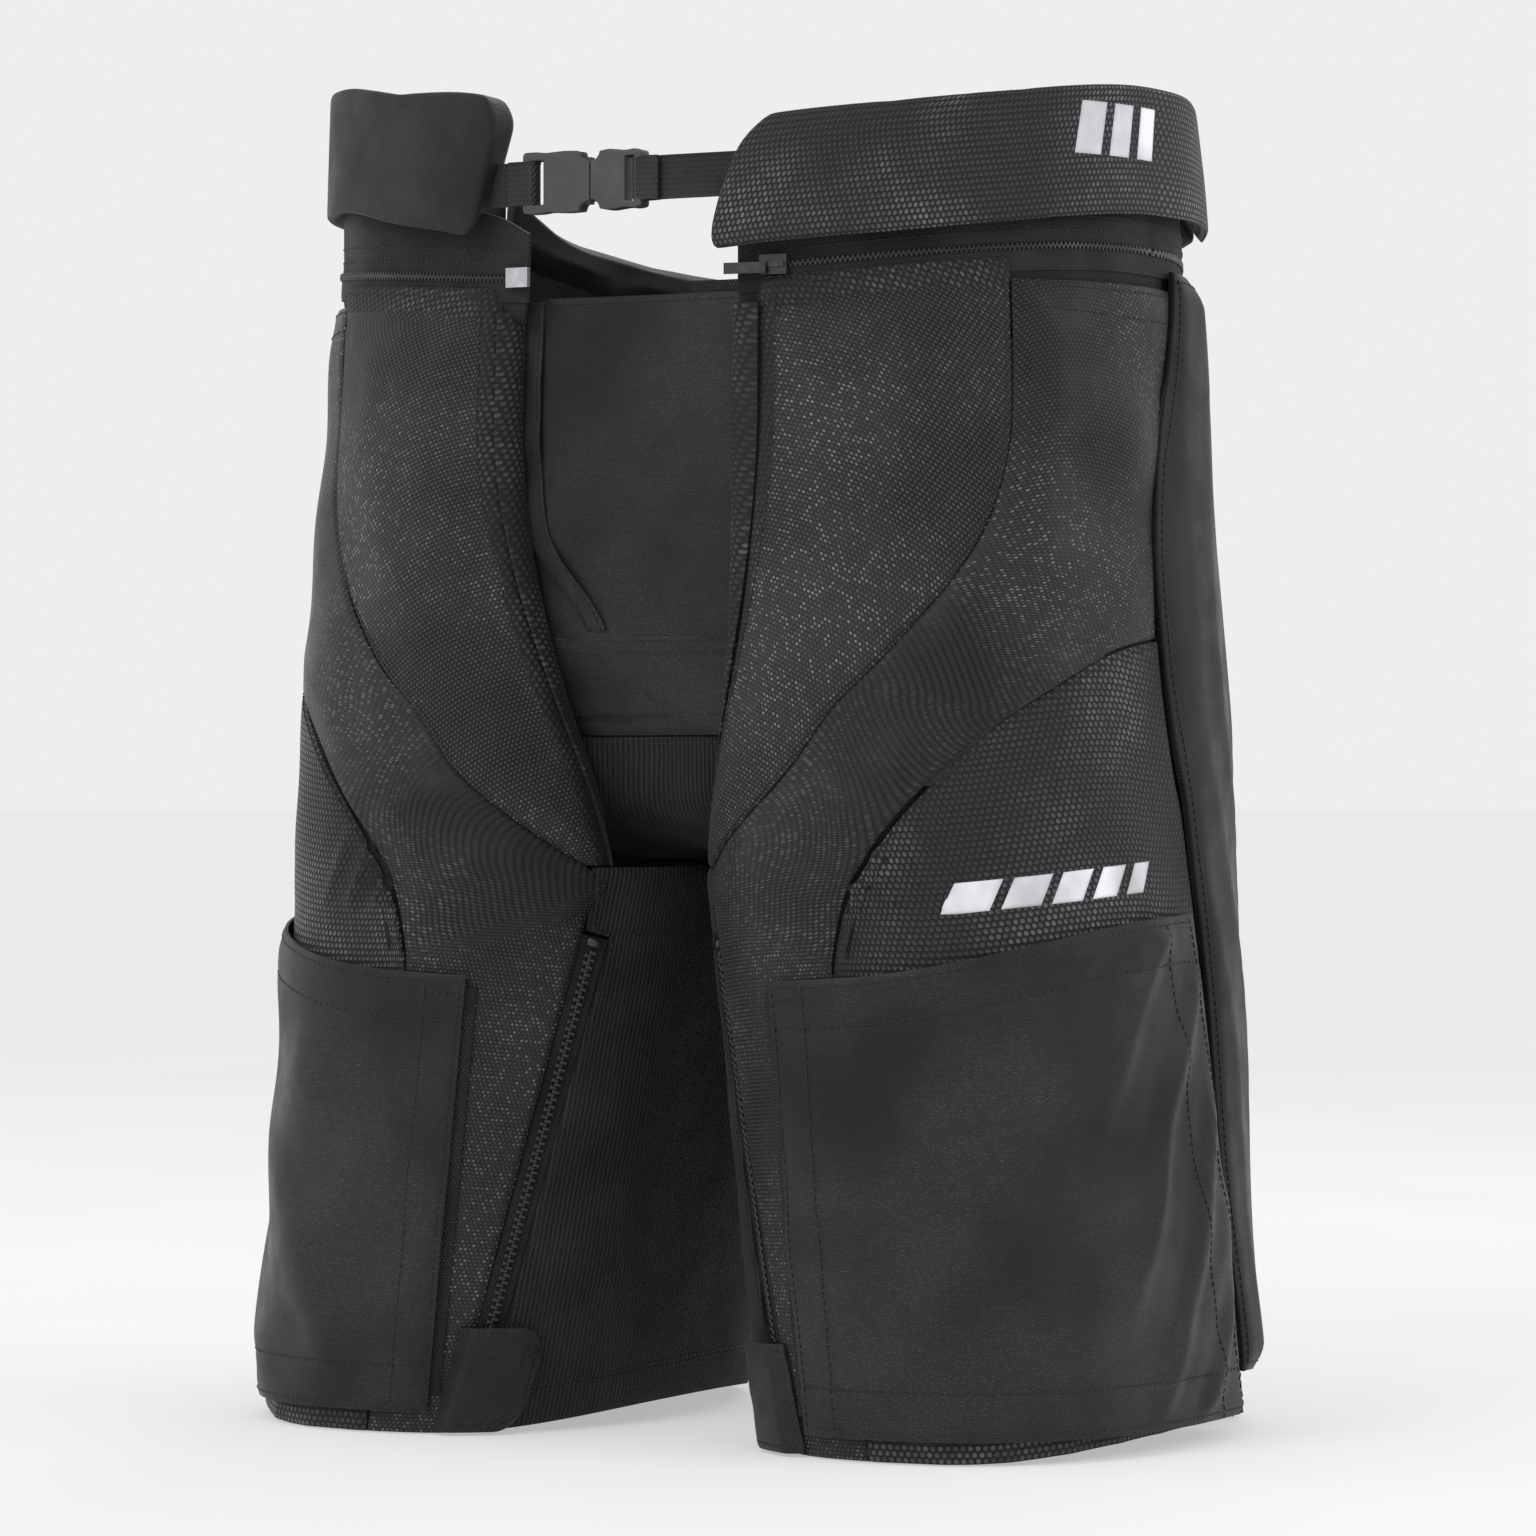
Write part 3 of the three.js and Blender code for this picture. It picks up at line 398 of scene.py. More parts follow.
def grey(level):
    """A black cloth's slightly bluish grey."""
    return (level, level, level * 1.06)


def mesh_cloth(name, thread, hole, pitch, row, open_share, depth, gloss, turn=0.0):
    """Open or air mesh: dark threads round small cells whose lining catches the light."""
    g = Graph(name, grey(thread), 0.6, sheen=0.04, specular=0.3)
    cell = g.cells(pitch, row, turn)
    hollow = g.ramp(cell, open_share + 0.1, open_share - 0.05)
    patches = g.ramp(g.noise(16, 3), 0.42, 0.68)
    lit = g.times(g.plus(0.35, g.times(g.sparkle(0.9), 0.65)), patches)
    light = g.mix(lit, grey(hole * 0.35), grey(hole * 2.2))
    colour = g.mix(hollow, grey(thread), light)
    rough = g.ramp(hollow, 0, 1, 0.72, gloss)
    height = g.ramp(cell, 0.08, open_share + 0.13)
    soft = g.bump(g.noise(60, 3), 0.0008, 0.35)
    return g.finish(colour, rough, g.bump(height, depth, 0.8, soft))


def woven_cloth(name, level, pitch, row, rough, depth, sheen, contrast, sheen_patch_scale=30.0, turn=0.0, glints=0.2):
    """Woven cloth: rows of small staggered floats, with a painted highlight on top of each float, painted sheen in
    large patches and painted glints on a share of the floats.
    """
    g = Graph(name, grey(level), rough, sheen=sheen, specular=0.22)
    cell = g.cells(pitch, row, turn, 1.25)
    float_top = g.ramp(cell, 0.42, 0.12)
    # Large patches of painted sheen: they lighten the cloth and hold the painted glints.
    tone_and_sheen = g.ramp(g.noise(sheen_patch_scale, 4), 0.35, 0.65)
    # Painted shade between the floats and a painted highlight on their tops.
    shade = g.plus(g.times(float_top, contrast), g.times(tone_and_sheen, 0.35))
    cloth = g.mix(shade, grey(level * 0.22), grey(level * 2.3))
    glint = g.times(g.times(g.sparkle(0.45), float_top), g.times(tone_and_sheen, glints))
    colour = g.mix(glint, cloth, grey(level * 9.5))
    roughness = g.ramp(g.noise(45, 2), 0.3, 0.7, rough - 0.07, rough + 0.07)
    soft = g.bump(g.noise(90, 4), 0.0006, 0.4)
    return g.finish(colour, roughness, g.bump(float_top, depth, 0.7, soft))


def ribbed_cloth(name, level, pitch, axis, rough, depth, stitch, slant=0.0, sheen=0.03):
    """Ribs along one way of the weave and loops across them, for knit, webbing and embroidery."""
    g = Graph(name, grey(level), rough, sheen=sheen, specular=0.2)
    rib = g.ramp(g.ribs(pitch, axis, slant), -0.8, 0.9)
    loops = g.ramp(g.ribs(stitch, 1 - axis), -1, 1)
    height = g.plus(rib, g.times(loops, 0.35))
    tone_and_sheen = g.times(g.ramp(g.noise(25, 4), 0.3, 0.7), 0.35)
    # The colour follows the rib height: painted shade in the grooves and a painted highlight on the rib tops, plus
    # large patches of lighter tone.
    colour = g.mix(g.plus(g.times(height, 0.5), tone_and_sheen), grey(level * 0.25), grey(level * 2.1))
    roughness = g.ramp(g.noise(40, 2), 0.3, 0.7, rough - 0.06, rough + 0.06)
    return g.finish(colour, roughness, g.bump(height, depth, 0.8))


def moulded(name, level, rough, grain=900.0, metallic=0.0, coat=0.0, wear=1.5):
    """Plastic or metal with a fine moulded grain, cloudy gloss and rubbed patches."""
    g = Graph(name, grey(level), rough, specular=0.5, metallic=metallic, coat=coat)
    rubbed = g.ramp(g.noise(140, 5), 0.5, 0.75)
    colour = g.mix(rubbed, grey(level), grey(min(level * wear, 0.9)))
    roughness = g.ramp(g.noise(60, 4), 0.3, 0.7, rough - 0.08, rough + 0.1)
    fine = g.bump(g.noise(grain, 3), 0.0001, 0.5)
    return g.finish(colour, roughness, g.bump(g.noise(70, 2), 0.0003, 0.3, fine))


# Each row: the material, its slot, what makes it, and that function's own arguments after the name.
MATERIALS, SLOTS = {}, {}
for cloth, slot, maker, *values in (
    ("belt_mesh", "mesh_fabric", mesh_cloth, 0.009, 0.065, 0.0034, 0.0029, 0.29, 0.0004, 0.34),
    ("lower_mesh", "coarse_mesh_fabric", mesh_cloth, 0.007, 0.05, 0.0033, 0.0028, 0.3, 0.0005, 0.3),
    ("wall_mesh", "coarse_mesh_fabric", mesh_cloth, 0.006, 0.035, 0.0033, 0.0026, 0.27, 0.0006, 0.55, 0.3),
    ("cover", "mesh_fabric", woven_cloth, 0.022, 0.0023, 0.0019, 0.58, 0.0004, 0.06, 0.95, 9.0, 0.12, 1.15),
    ("satin", "twill_fabric", woven_cloth, 0.016, 0.0024, 0.0018, 0.44, 0.0003, 0.06, 0.8, 11.0, 0.0, 1.15),
    ("belt_twill", "twill_fabric", woven_cloth, 0.013, 0.0012, 0.0009, 0.55, 0.00015, 0.06, 0.5, 16.0, 0.6, 0.25),
    ("nylon", "nylon_fabric", woven_cloth, 0.018, 0.0012, 0.001, 0.48, 0.00012, 0.05, 0.4, 10.0, 0.0, 0.3),
    # A darker, duller copy of the nylon: painted shade on the hip panels.
    ("side_nylon", "nylon_fabric", woven_cloth, 0.0125, 0.0012, 0.001, 0.5, 0.00012, 0.04, 0.35, 9.0, 0.0, 0.15),
    ("tape", "webbing", woven_cloth, 0.012, 0.0016, 0.0011, 0.7, 0.0002, 0.04, 0.6, 20.0, 0.0, 0.1),
    ("hook", "hook_tape", mesh_cloth, 0.005, 0.02, 0.0017, 0.0015, 0.3, 0.0007, 0.6),
    ("lining", "pad_foam", woven_cloth, 0.016, 0.0026, 0.0022, 0.8, 0.0003, 0.1, 0.6),
    ("knit", "knit_fabric", ribbed_cloth, 0.016, 0.0024, 0, 0.85, 0.0007, 0.0012, 0.1),
    ("webbing", "webbing", ribbed_cloth, 0.02, 0.0015, 0, 0.6, 0.0003, 0.0024, 0.5),
    ("thread", "webbing", moulded, 0.006, 0.55, 1500),
    ("binding", "webbing", ribbed_cloth, 0.011, 0.0011, 0, 0.7, 0.0002, 0.0022),
    ("embroidery", "webbing", ribbed_cloth, 0.6, 0.0007, 0, 0.45, 0.00015, 0.004, 0.15, 0.1),
    ("teeth", "zip_plastic", moulded, 0.012, 0.35),
    ("slider", "zip_slider", moulded, 0.014, 0.3, 600, 0.0, 0.2, 2.5),
    ("bright", "zip_metal", moulded, 0.5, 0.34, 400, 1.0, 0.0, 1.3),
    ("buckle", "buckle_plastic", moulded, 0.042, 0.5, 700, 0.0, 0.0, 1.3),
    ("plastic", "pad_plastic", moulded, 0.018, 0.5),
):
    MATERIALS[cloth], SLOTS[cloth] = maker(cloth, *values), slot


# ---- Building blocks ----
PIECES = {}


def waves(points, seed, wavelength, count=9):
    """A smooth wandering field, about -1 to 1, the same wherever two panels meet."""
    draw = np.random.RandomState(seed)
    total = 0
    for _ in range(count):
        direction = draw.normal(size=3)
        direction /= np.linalg.norm(direction)
        reach = wavelength * MM * draw.uniform(0.7, 1.5)
        total = total + np.sin(points @ direction * 2 * np.pi / reach + draw.uniform(0, 6.3))
    return total / math.sqrt(count / 2) / 1.6


def make(name, points, faces, material, body="pants", uv=None, sharp=None):
    mesh = bpy.data.meshes.new(name)
    mesh.from_pydata(np.asarray(points).reshape(-1, 3).tolist(), [], faces)
    obj = bpy.data.objects.new(name, mesh)
    bpy.context.scene.collection.objects.link(obj)
    mesh.materials.append(MATERIALS[material])
    mesh.polygons.foreach_set("use_smooth", [True] * len(mesh.polygons))
    if uv is not None:
        layer = mesh.uv_layers.new(name="weave")
        corner = np.zeros(len(mesh.loops), np.int32)
        mesh.loops.foreach_get("vertex_index", corner)
        layer.data.foreach_set("uv", np.asarray(uv)[corner].astype(np.float32).ravel())
    if sharp is not None:
        edges = np.array([e.vertices[:] for e in mesh.edges])
        flag = mesh.attributes.new("sharp_edge", "BOOLEAN", "EDGE")
        flag.data.foreach_set("value", sharp(edges))
    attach(obj, body)
    PIECES[name] = obj
    return obj


def weld(obj, distance):
    """Joins points that lie together and turns every face outwards."""
    work = bmesh.new()
    work.from_mesh(obj.data)
    bmesh.ops.remove_doubles(work, verts=work.verts, dist=distance)
    bmesh.ops.recalc_face_normals(work, faces=work.faces)
    work.to_mesh(obj.data)
    work.free()
    return obj


def unit(v):
    return v / (np.linalg.norm(v, axis=-1, keepdims=True) + 1e-12)


def grid_quads(index):
    """The quads of a grid of point numbers."""
    return np.stack([index[:-1, :-1], index[:-1, 1:], index[1:, 1:], index[1:, :-1]], -1).reshape(-1, 4)


def slab_faces(index, n):
    """The faces of a slab whose inner points are n further on than its outer ones, and its rim."""
    quads = grid_quads(index)
    rim = np.concatenate([index[0, :-1], index[:-1, -1], index[-1, :0:-1], index[:0:-1, 0]])
    ahead = np.roll(rim, -1)
    return np.concatenate([quads, quads[:, ::-1] + n, np.stack([rim, rim + n, ahead + n, ahead], -1)]), rim


LEAST_AREA_SHARE = 0.301  # of the box round a flat sheet


class Panel:
    """A sheet of cloth on a grid; place(s, t, w) gives points, relief(panel) the height over them, in mm."""

    def __init__(self, name, stands_for, place, flip, width, height, out, thick, material,
                 relief=None, step=3.0, body="pants", roll=(1.1, 3.0)):
        across, up = max(int(width / step), 2), max(int(height / step), 2)
        s, t = np.meshgrid(np.linspace(0, 1, across + 1), np.linspace(0, 1, up + 1))
        base = place(s, t, out + 0 * s)
        reach = np.linalg.norm(np.diff(base, axis=1), axis=2) / MM
        rise = np.linalg.norm(np.diff(base, axis=0), axis=2) / MM
        self.s, self.t, self.base = s, t, base
        self.left = np.concatenate([np.zeros((up + 1, 1)), np.cumsum(reach, 1)], 1)
        self.right = self.left[:, -1:] - self.left
        self.low = np.concatenate([np.zeros((1, across + 1)), np.cumsum(rise, 0)], 0)
        self.high = self.low[-1:] - self.low
        self.edge = np.minimum.reduce([self.left, self.right, self.low, self.high])
        depth, width_of_roll = roll
        w = out - depth * (1 - smooth(self.edge / width_of_roll)) ** 1.5
        if relief is not None:
            w = w + relief(self)
        self.outer = place(s, t, w)
        inner = place(s, t, np.minimum(w, out) - thick)
        n = s.size
        faces, rim = slab_faces(np.arange(n).reshape(s.shape), n)
        if flip:
            faces = faces[:, ::-1]
        uv = np.stack([self.left, self.low], -1).reshape(-1, 2) * MM
        on_rim = np.zeros(2 * n, bool)
        on_rim[rim] = on_rim[rim + n] = True
        sharp = lambda e: on_rim[e[:, 0]] & on_rim[e[:, 1]]
        points = np.concatenate([self.outer.reshape(-1, 3), inner.reshape(-1, 3)])
        self.obj = make(name, points, faces.tolist(), material, body, np.concatenate([uv, uv]), sharp)
        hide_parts(stands_for)
        ds, dt = np.gradient(self.outer, axis=1), np.gradient(self.outer, axis=0)
        normal = np.cross(ds, dt) * (-1 if flip else 1)
        self.normal = normal / np.maximum(np.linalg.norm(normal, axis=2, keepdims=True), 1e-12)
        spans = [np.linalg.norm(np.diff(self.outer, axis=k), axis=2).sum(k).max() for k in (1, 0)]
        self.cut = (float(spans[0]), float(spans[1]))
        corner = self.outer[:-1, :-1]
        cell = np.linalg.norm(np.cross(self.outer[:-1, 1:] - corner, self.outer[1:, :-1] - corner), axis=2)
        self.area = min(float(cell.sum()), self.cut[0] * self.cut[1])

    def declare(self, held, *rests_on):
        width, length = (round(v, 4) for v in self.cut)
        area = round(max(self.area, LEAST_AREA_SHARE * width * length), 6)
        return self

    def at(self, s, t):
        """Points and normals on the outer face at grid shares s and t."""
        rows, columns = self.s.shape
        x, y = np.clip(s, 0, 1) * (columns - 1), np.clip(t, 0, 1) * (rows - 1)
        i, j = np.minimum(x.astype(int), columns - 2), np.minimum(y.astype(int), rows - 2)
        fx, fy = (x - i)[:, None], (y - j)[:, None]

        def pick(a):
            low = a[j, i] * (1 - fx) + a[j, i + 1] * fx
            high = a[j + 1, i] * (1 - fx) + a[j + 1, i + 1] * fx
            return low * (1 - fy) + high * fy

        return pick(self.outer), pick(self.normal)

    def line(self, edge, inset, start=0.0, end=1.0):
        """A line along an edge, inset by millimetres; start and end are shares of the edge."""
        share = np.linspace(start, end, 160)
        if edge in "lr":
            rows = share * (self.s.shape[0] - 1)
            j = np.minimum(rows.round().astype(int), self.s.shape[0] - 1)
            full = self.left[j, -1]
            s = inset / full if edge == "l" else 1 - inset / full
            return self.at(s, share)
        columns = share * (self.s.shape[1] - 1)
        i = np.minimum(columns.round().astype(int), self.s.shape[1] - 1)
        full = self.low[-1, i]
        t = inset / full if edge == "b" else 1 - inset / full
        return self.at(share, t)


def panel(name, side, patch, width, height, out, thick, material, **more):
    def place(s, t, w):
        u, z = patch(s, t)
        return surface(side, u, z, w)

    node = name + ("_left" if side > 0 else "_right")
    return Panel(node + "_cloth", node, place, side < 0, width, height, out, thick, material, **more)


def recolour(made, mask, material):
    """A second cloth on the outer faces of a panel where the grid's mask is true."""
    made.obj.data.materials.append(MATERIALS[material])
    cells = (mask[:-1, :-1] & mask[1:, 1:]).ravel()
    index = np.zeros(len(made.obj.data.polygons), np.int32)
    index[: cells.size] = cells
    made.obj.data.polygons.foreach_set("material_index", index)


def resample(points, normals, step):
    reach = np.linalg.norm(np.diff(points, axis=0), axis=1)
    total = np.concatenate([[0], np.cumsum(reach)])
    at = np.arange(0, total[-1], step)
    pick = lambda a: np.stack([np.interp(at, total, a[:, k]) for k in range(3)], -1)
    return pick(points), pick(normals)


def stitching(name, body, lines, length=2.9, gap=1.0, thick=0.72, material="thread"):
    """Runs of short raised stitches along lines of (points, normals), joined in one piece."""
    points, faces = [], []
    ring = np.array([(-0.5, 0.0), (-0.32, 0.62), (0.32, 0.62), (0.5, 0.0)])
    for line, normals in lines:
        here, n = resample(line, normals, (length + gap) * MM)
        if len(here) < 2:
            continue
        for p, f, up in zip(here[:-1], unit(np.diff(here, axis=0)), n[:-1]):
            side = unit(np.cross(up, f))
            first = len(points)
            for share, scale in ((0, 0.45), (0.2, 1), (0.8, 1), (1, 0.45)):
                middle = p + f * share * length * MM
                points += [middle + (side * a + up * b * scale) * thick * scale * MM for a, b in ring]
            for k in range(3):
                for i in range(4):
                    a, b = first + 4 * k + i, first + 4 * k + (i + 1) % 4
                    faces.append((a, b, b + 4, a + 4))
            faces += [(first + 3, first + 2, first + 1, first), tuple(first + 12 + i for i in range(4))]
    return make(name, points, faces, material, body)


TUBE_STEP = 2.5


def tube(name, body, lines, radius, material, lift, flat=1.0, sides=8):
    """Piping or a thin roll along lines of (points, normals); flat squeezes it towards the cloth."""
    points, faces, uv = [], [], []
    for line, normals in lines:
        here, n = resample(line, normals, TUBE_STEP * MM)
        side = unit(np.cross(n, unit(np.gradient(here, axis=0))))
        first = len(points)
        for k in range(len(here)):
            for i in range(sides):
                turn = 2 * math.pi * i / sides
                offset = side[k] * math.cos(turn) + n[k] * (math.sin(turn) * flat)
                points.append(here[k] + (offset * radius + n[k] * lift) * MM)
                uv.append((TUBE_STEP * MM * k, radius * turn * MM))
        for k in range(len(here) - 1):
            for i in range(sides):
                a, b = first + k * sides + i, first + k * sides + (i + 1) % sides
                faces.append((a, a + sides, b + sides, b))
        faces.append(tuple(first + i for i in range(sides)))
        faces.append(tuple(first + (len(here) - 1) * sides + i for i in reversed(range(sides))))
    return make(name, points, faces, material, body, uv)


# ---- Leg and body cloth ----
BEND_EVERY = 41.0  # how slowly a fold's line wanders, mm


def wobble(p, height, wavelength, seed=3):
    return height * waves(p.base, seed, wavelength)


def dent(distance, at, width):
    """A narrow groove at one distance from an edge, as a row of stitches pulls in."""
    return np.exp(-(((distance - at) / width) ** 2))


def fold(a, b, angle, wavelength, height, phase, bend):
    """Long soft creases across a panel's own millimetres a and b."""
    q = a * math.cos(angle) + b * math.sin(angle) + bend * np.sin(b / BEND_EVERY + phase)
    return height * (0.5 + 0.5 * np.sin(2 * np.pi * q / wavelength + phase)) ** 3


def cover_relief(p):
    crown = 4.5 * smooth(np.minimum(p.edge, 60) / 45)
    inner = -4.0 * (1 - smooth(p.left / 10)) ** 2
    top = -1.4 * dent(p.high, 15, 2.2)
    return crown + inner + top + wobble(p, 0.7, 90)


def mid_relief(p):
    body = 1.6 * smooth(p.edge / 25) + wobble(p, 1.3, 55)
    below = smooth((p.low[-1] * 0.62 - p.low) / 70)
    crease = fold(p.left, p.low, 0.9, 34, 1.9, 0.4, 9) * smooth(p.edge / 18) * below
    above_flap = smooth((p.base[..., 2] / MM - 232) / 30)
    return (body + crease) * lerp(0.15, 1, above_flap)


def mesh_relief(p):
    z = p.base[..., 2] / MM
    gather = fold(p.left, p.low, 0.25, 21, 2.6, 0.9, 5) * smooth((p.left + 20) / 30)
    gather *= smooth((110 - p.left) / 60) * (smooth((z - 238) / 12) * smooth((290 - z) / 30))
    hem = fold(p.left, p.low, 0.5, 26, 1.5, 0.2, 3) * smooth((40 - p.low) / 25)
    above_flap = lerp(0.4, 1, smooth((z - 232) / 20))
    return 1.6 * gather + 0.6 * hem + wobble(p, 0.8, 55) * smooth(p.edge / 8) * above_flap


def hip_relief(p):
    across = np.clip(p.left / p.left[:, -1:], 0, 1)
    puff = 3.6 * np.sin(np.pi * across) ** 0.6 * smooth(p.low / 14) * smooth(p.high / 14)
    crease = fold(p.left, p.low, 0.12, 31, 1.1, 1.1, 6) * smooth(p.edge / 12)
    return puff + crease + wobble(p, 0.9, 130)


def seat_relief(p):
    crease = fold(p.left, p.low, 0.3, 70, 1.3, 0.3, 10) * smooth(p.edge / 30)
    return wobble(p, 1.0, 110, 5) * smooth(p.edge / 15) + crease


def knit_relief(p):
    return wobble(p, 1.0, 75, 9) * smooth(p.edge / 10) - 0.5 * dent(p.low, 17, 1.1)


FLAP_SEAMS = (3.2, 21.5)  # rows of stitches in from a flap's edges, mm


def flap_relief(p):
    far = p.left[:, -1:] - p.left
    tension = fold(far, p.low, 0.62, 38, 2.6, 0.6, 7) * smooth((120 - far) / 60) * smooth(p.edge / 14)
    lower = fold(far, p.low, 0.75, 62, 1.8, 2.2, 9) * smooth((150 - p.low) / 60) * smooth((p.low - 12) / 20)
    sides = (p.left, p.right, p.low, p.high)
    rim, border = (sum(dent(d, at, wide) for d in sides) for at, wide in zip(FLAP_SEAMS, (0.9, 1.3)))
    cloth = wobble(p, 1.1, 60, 7) * smooth(p.edge / 9)
    return tension * 1.6 + 1.3 * lower + cloth - 0.45 * border - 0.3 * rim


def lines(made, *rows):
    """Lines on panels; each row is a panel's key and what Panel.line takes."""
    return [made[key].line(*where) for key, *where in rows]


FLAP_OUT, COVER_BORDER, COVER_HEM = 4.9, 10.5, 14.5
EDGE = (1.1, 3.0)
# Each row: key, node, patch, width and height for the grid, out, thickness, cloth, relief, grid step,
# how the edge rolls, how it is held and what it rests on.
LEG_CLOTH = (
    ("cover", "thigh_cover", cover_patch, 105, 268, 0, CLOTH, "cover", cover_relief, 3, EDGE,
     "stretched", "thigh_plate_{}"),
    ("mid", "mid_panel", mid_patch, 150, 540, 0, CLOTH, "satin", mid_relief, 3.4, EDGE,
     "stretched", "thigh_plate_{}"),
    ("mesh", "lower_mesh", mesh_patch, 225, 300, 0, CLOTH, "lower_mesh", mesh_relief, 3, EDGE,
     "stretched", "thigh_foam_{}"),
    ("hip", "hip_panel", hip_patch, 60, 500, 2.6, 2, "side_nylon", hip_relief, 3, (2.2, 6),
     "stretched", "hip_pad_{}"),
    ("seat", "seat_panel", seat_patch, 190, 255, 0, CLOTH, "nylon", seat_relief, 4, EDGE,
     "stretched", "thigh_foam_{}"),
    ("back", "leg_back", leg_back_patch, 165, 262, 0, CLOTH, "nylon", seat_relief, 4, EDGE,
     "stretched", "thigh_foam_{}"),
    ("knit", "inner_knit", knit_patch, 160, 256, 0, CLOTH, "knit", knit_relief, 3.2, EDGE,
     "stretched", "thigh_foam_{}"),
    ("flap", "thigh_flap", flap_patch, 215, 226, FLAP_OUT, 1.5, "nylon", flap_relief, 2.4, (0.8, 2),
     "hung", "hip_panel_{}_cloth"),
    ("hook", "hook_strip", hook_patch, 20, 188, 2.1, 1.3, "hook", None, 4, (0.2, 1),
     "laid", "lower_mesh_{}_cloth"),
)
cloths = {}
for side, tag in SIDES:
    made = cloths[tag] = {}
    for key, node, patch, width, height, out, thick, cloth, relief, step, roll, held, under in LEG_CLOTH:
        body = "flap_" + tag if key == "flap" else "pants"
        made[key] = panel(node, side, patch, width, height, out, thick, cloth,
                          relief=relief, step=step, roll=roll, body=body)
        made[key].declare(held, under.format(tag))
    cover = made["cover"]
    recolour(cover, (cover.left < COVER_BORDER) | (cover.high < COVER_HEM), "wall_mesh")

    # The side wall rolls out over the fly, further on the wearer's left.
    def wall(s, t, w):
        u, z = side_wall_line(t)
        return surface(side, u - in_u(u, z, w), z, lerp(PAD_DEPTH, -1.2, s))

    def wall_relief(p):
        roll_out = (16 if side > 0 else 6) * np.sin(np.pi * p.s**0.7) ** 0.8 * smooth(p.low / 30)
        return roll_out + wobble(p, 0.7, 60) * smooth(p.edge / 5)

    strip = Panel(f"side_wall_{tag}_cloth", "thigh_side_wall_" + tag, wall, side < 0, 16, 262, 0, 1.4, "wall_mesh",
                  relief=wall_relief, step=1.6, roll=(0.3, 1.5))
    strip.declare("stretched", "thigh_foam_" + tag)

    # The hem tab: rounded at its free end, lifted over the zip's slider and pull.
    def tab(s, t, w):
        corner = np.clip(1 - s / 0.36, 0, 1)
        t = 0.5 + (t - 0.5) * (1 - 0.62 * (1 - np.sqrt(1 - corner**2)))
        u, z = tab_patch(s, t)
        lift = 0.8 + 5.6 * smooth(s / 0.3) * smooth((1 - s) / 0.18)
        return surface(side, u, z, w + lift)

    made["tab"] = Panel(f"hem_tab_{tag}_cloth", "hem_tab_" + tag, tab, side < 0, 40, 48, 1.6, 1.6, "nylon",
                        relief=lambda p: wobble(p, 0.35, 18, 4) - 0.25 * dent(p.edge, 3, 0.8),
                        step=1.6, body="tab_" + tag, roll=(0.5, 1.5))
    made["tab"].declare("hung", f"mid_panel_{tag}_cloth")

    # Stitches and piping along the seams.
    stitching(f"seam_stitches_{tag}", "pants", lines(
        made, ("cover", "r", 2.6, 0.05), ("cover", "l", COVER_BORDER, 0.1), ("cover", "t", COVER_HEM),
        ("cover", "t", 2.5), ("mesh", "t", 2.8), ("mid", "t", 3), ("mid", "t", 15),
        ("hip", "l", 3), ("hip", "r", 3), ("hip", "t", 4), ("hip", "b", 4),
        ("knit", "b", 17), ("knit", "b", 19.5), ("knit", "r", 3),
        ("mid", "l", 3, 0, 0.4), ("mesh", "b", 9), ("mesh", "b", 11.5), ("back", "b", 9), ("back", "b", 11.5),
        ("seat", "t", 4), ("seat", "l", 4), ("seat", "r", 4, 0.2), ("back", "l", 4),
    ))
    rows = [("flap", edge, inset) for edge in "lrbt" for inset in FLAP_SEAMS]
    stitching(f"flap_stitches_{tag}", "flap_" + tag, lines(made, *rows))
    rows = ("tab", "t", 3, 0.12, 1), ("tab", "b", 3, 0.12, 1), ("tab", "l", 3, 0.1, 0.9)
    stitching(f"tab_stitches_{tag}", "tab_" + tag, lines(made, *rows), 2.2, 0.9)
    # A bartack at the flap's upper free corner: short close stitches across the fold.
    rows = [("flap", "t", 8 + 0.5 * k, 0.02, 0.1) for k in range(6)]
    stitching(f"flap_bartack_{tag}", "flap_" + tag, lines(made, *rows), 3.2, 0.3, 0.45)
    rows = ("hip", "l", 0.6), ("hip", "r", 0.6)
    tube(f"hip_piping_{tag}", "pants", lines(made, *rows), 1.1, "binding", lift=-0.4)
    tube(f"pad_piping_{tag}", "pants", [cover.line("l", 1.2, 0.03)], 0.8, "binding", lift=-0.3)


# ---- Seam allowances behind the seams ----
ALLOWANCE, ALLOWANCE_FLAT = 5.0, 0.09
for side, tag in SIDES:
    rows = [("cover", "r", 2), ("mesh", "t", 1.5), ("mesh", "r", 0), ("mid", "r", 0), ("hip", "r", 0)]
    rows += [("seat", "l", 0), ("back", "l", 0), ("back", "t", 0), ("back", "r", 0)]
    tube(f"seam_allowance_{tag}", "pants", lines(cloths[tag], *rows), ALLOWANCE, "binding",
         flat=ALLOWANCE_FLAT, lift=-3.0)
tube("centre_seam_allowance", "pants", lines(cloths["left"], ("seat", "r", 0)), ALLOWANCE, "binding",
     flat=ALLOWANCE_FLAT, lift=-2.4)


# ---- Fly, gusset, waist ----
def fly_half(level):
    return surface(1, pad_edge(level), height_of(level), -FLY_RECESS)[..., 0] / MM - SEAM_GAP


def fly_face(level):
    return surface(1, pad_edge(level), height_of(level))[..., 1] / MM + FLY_RECESS


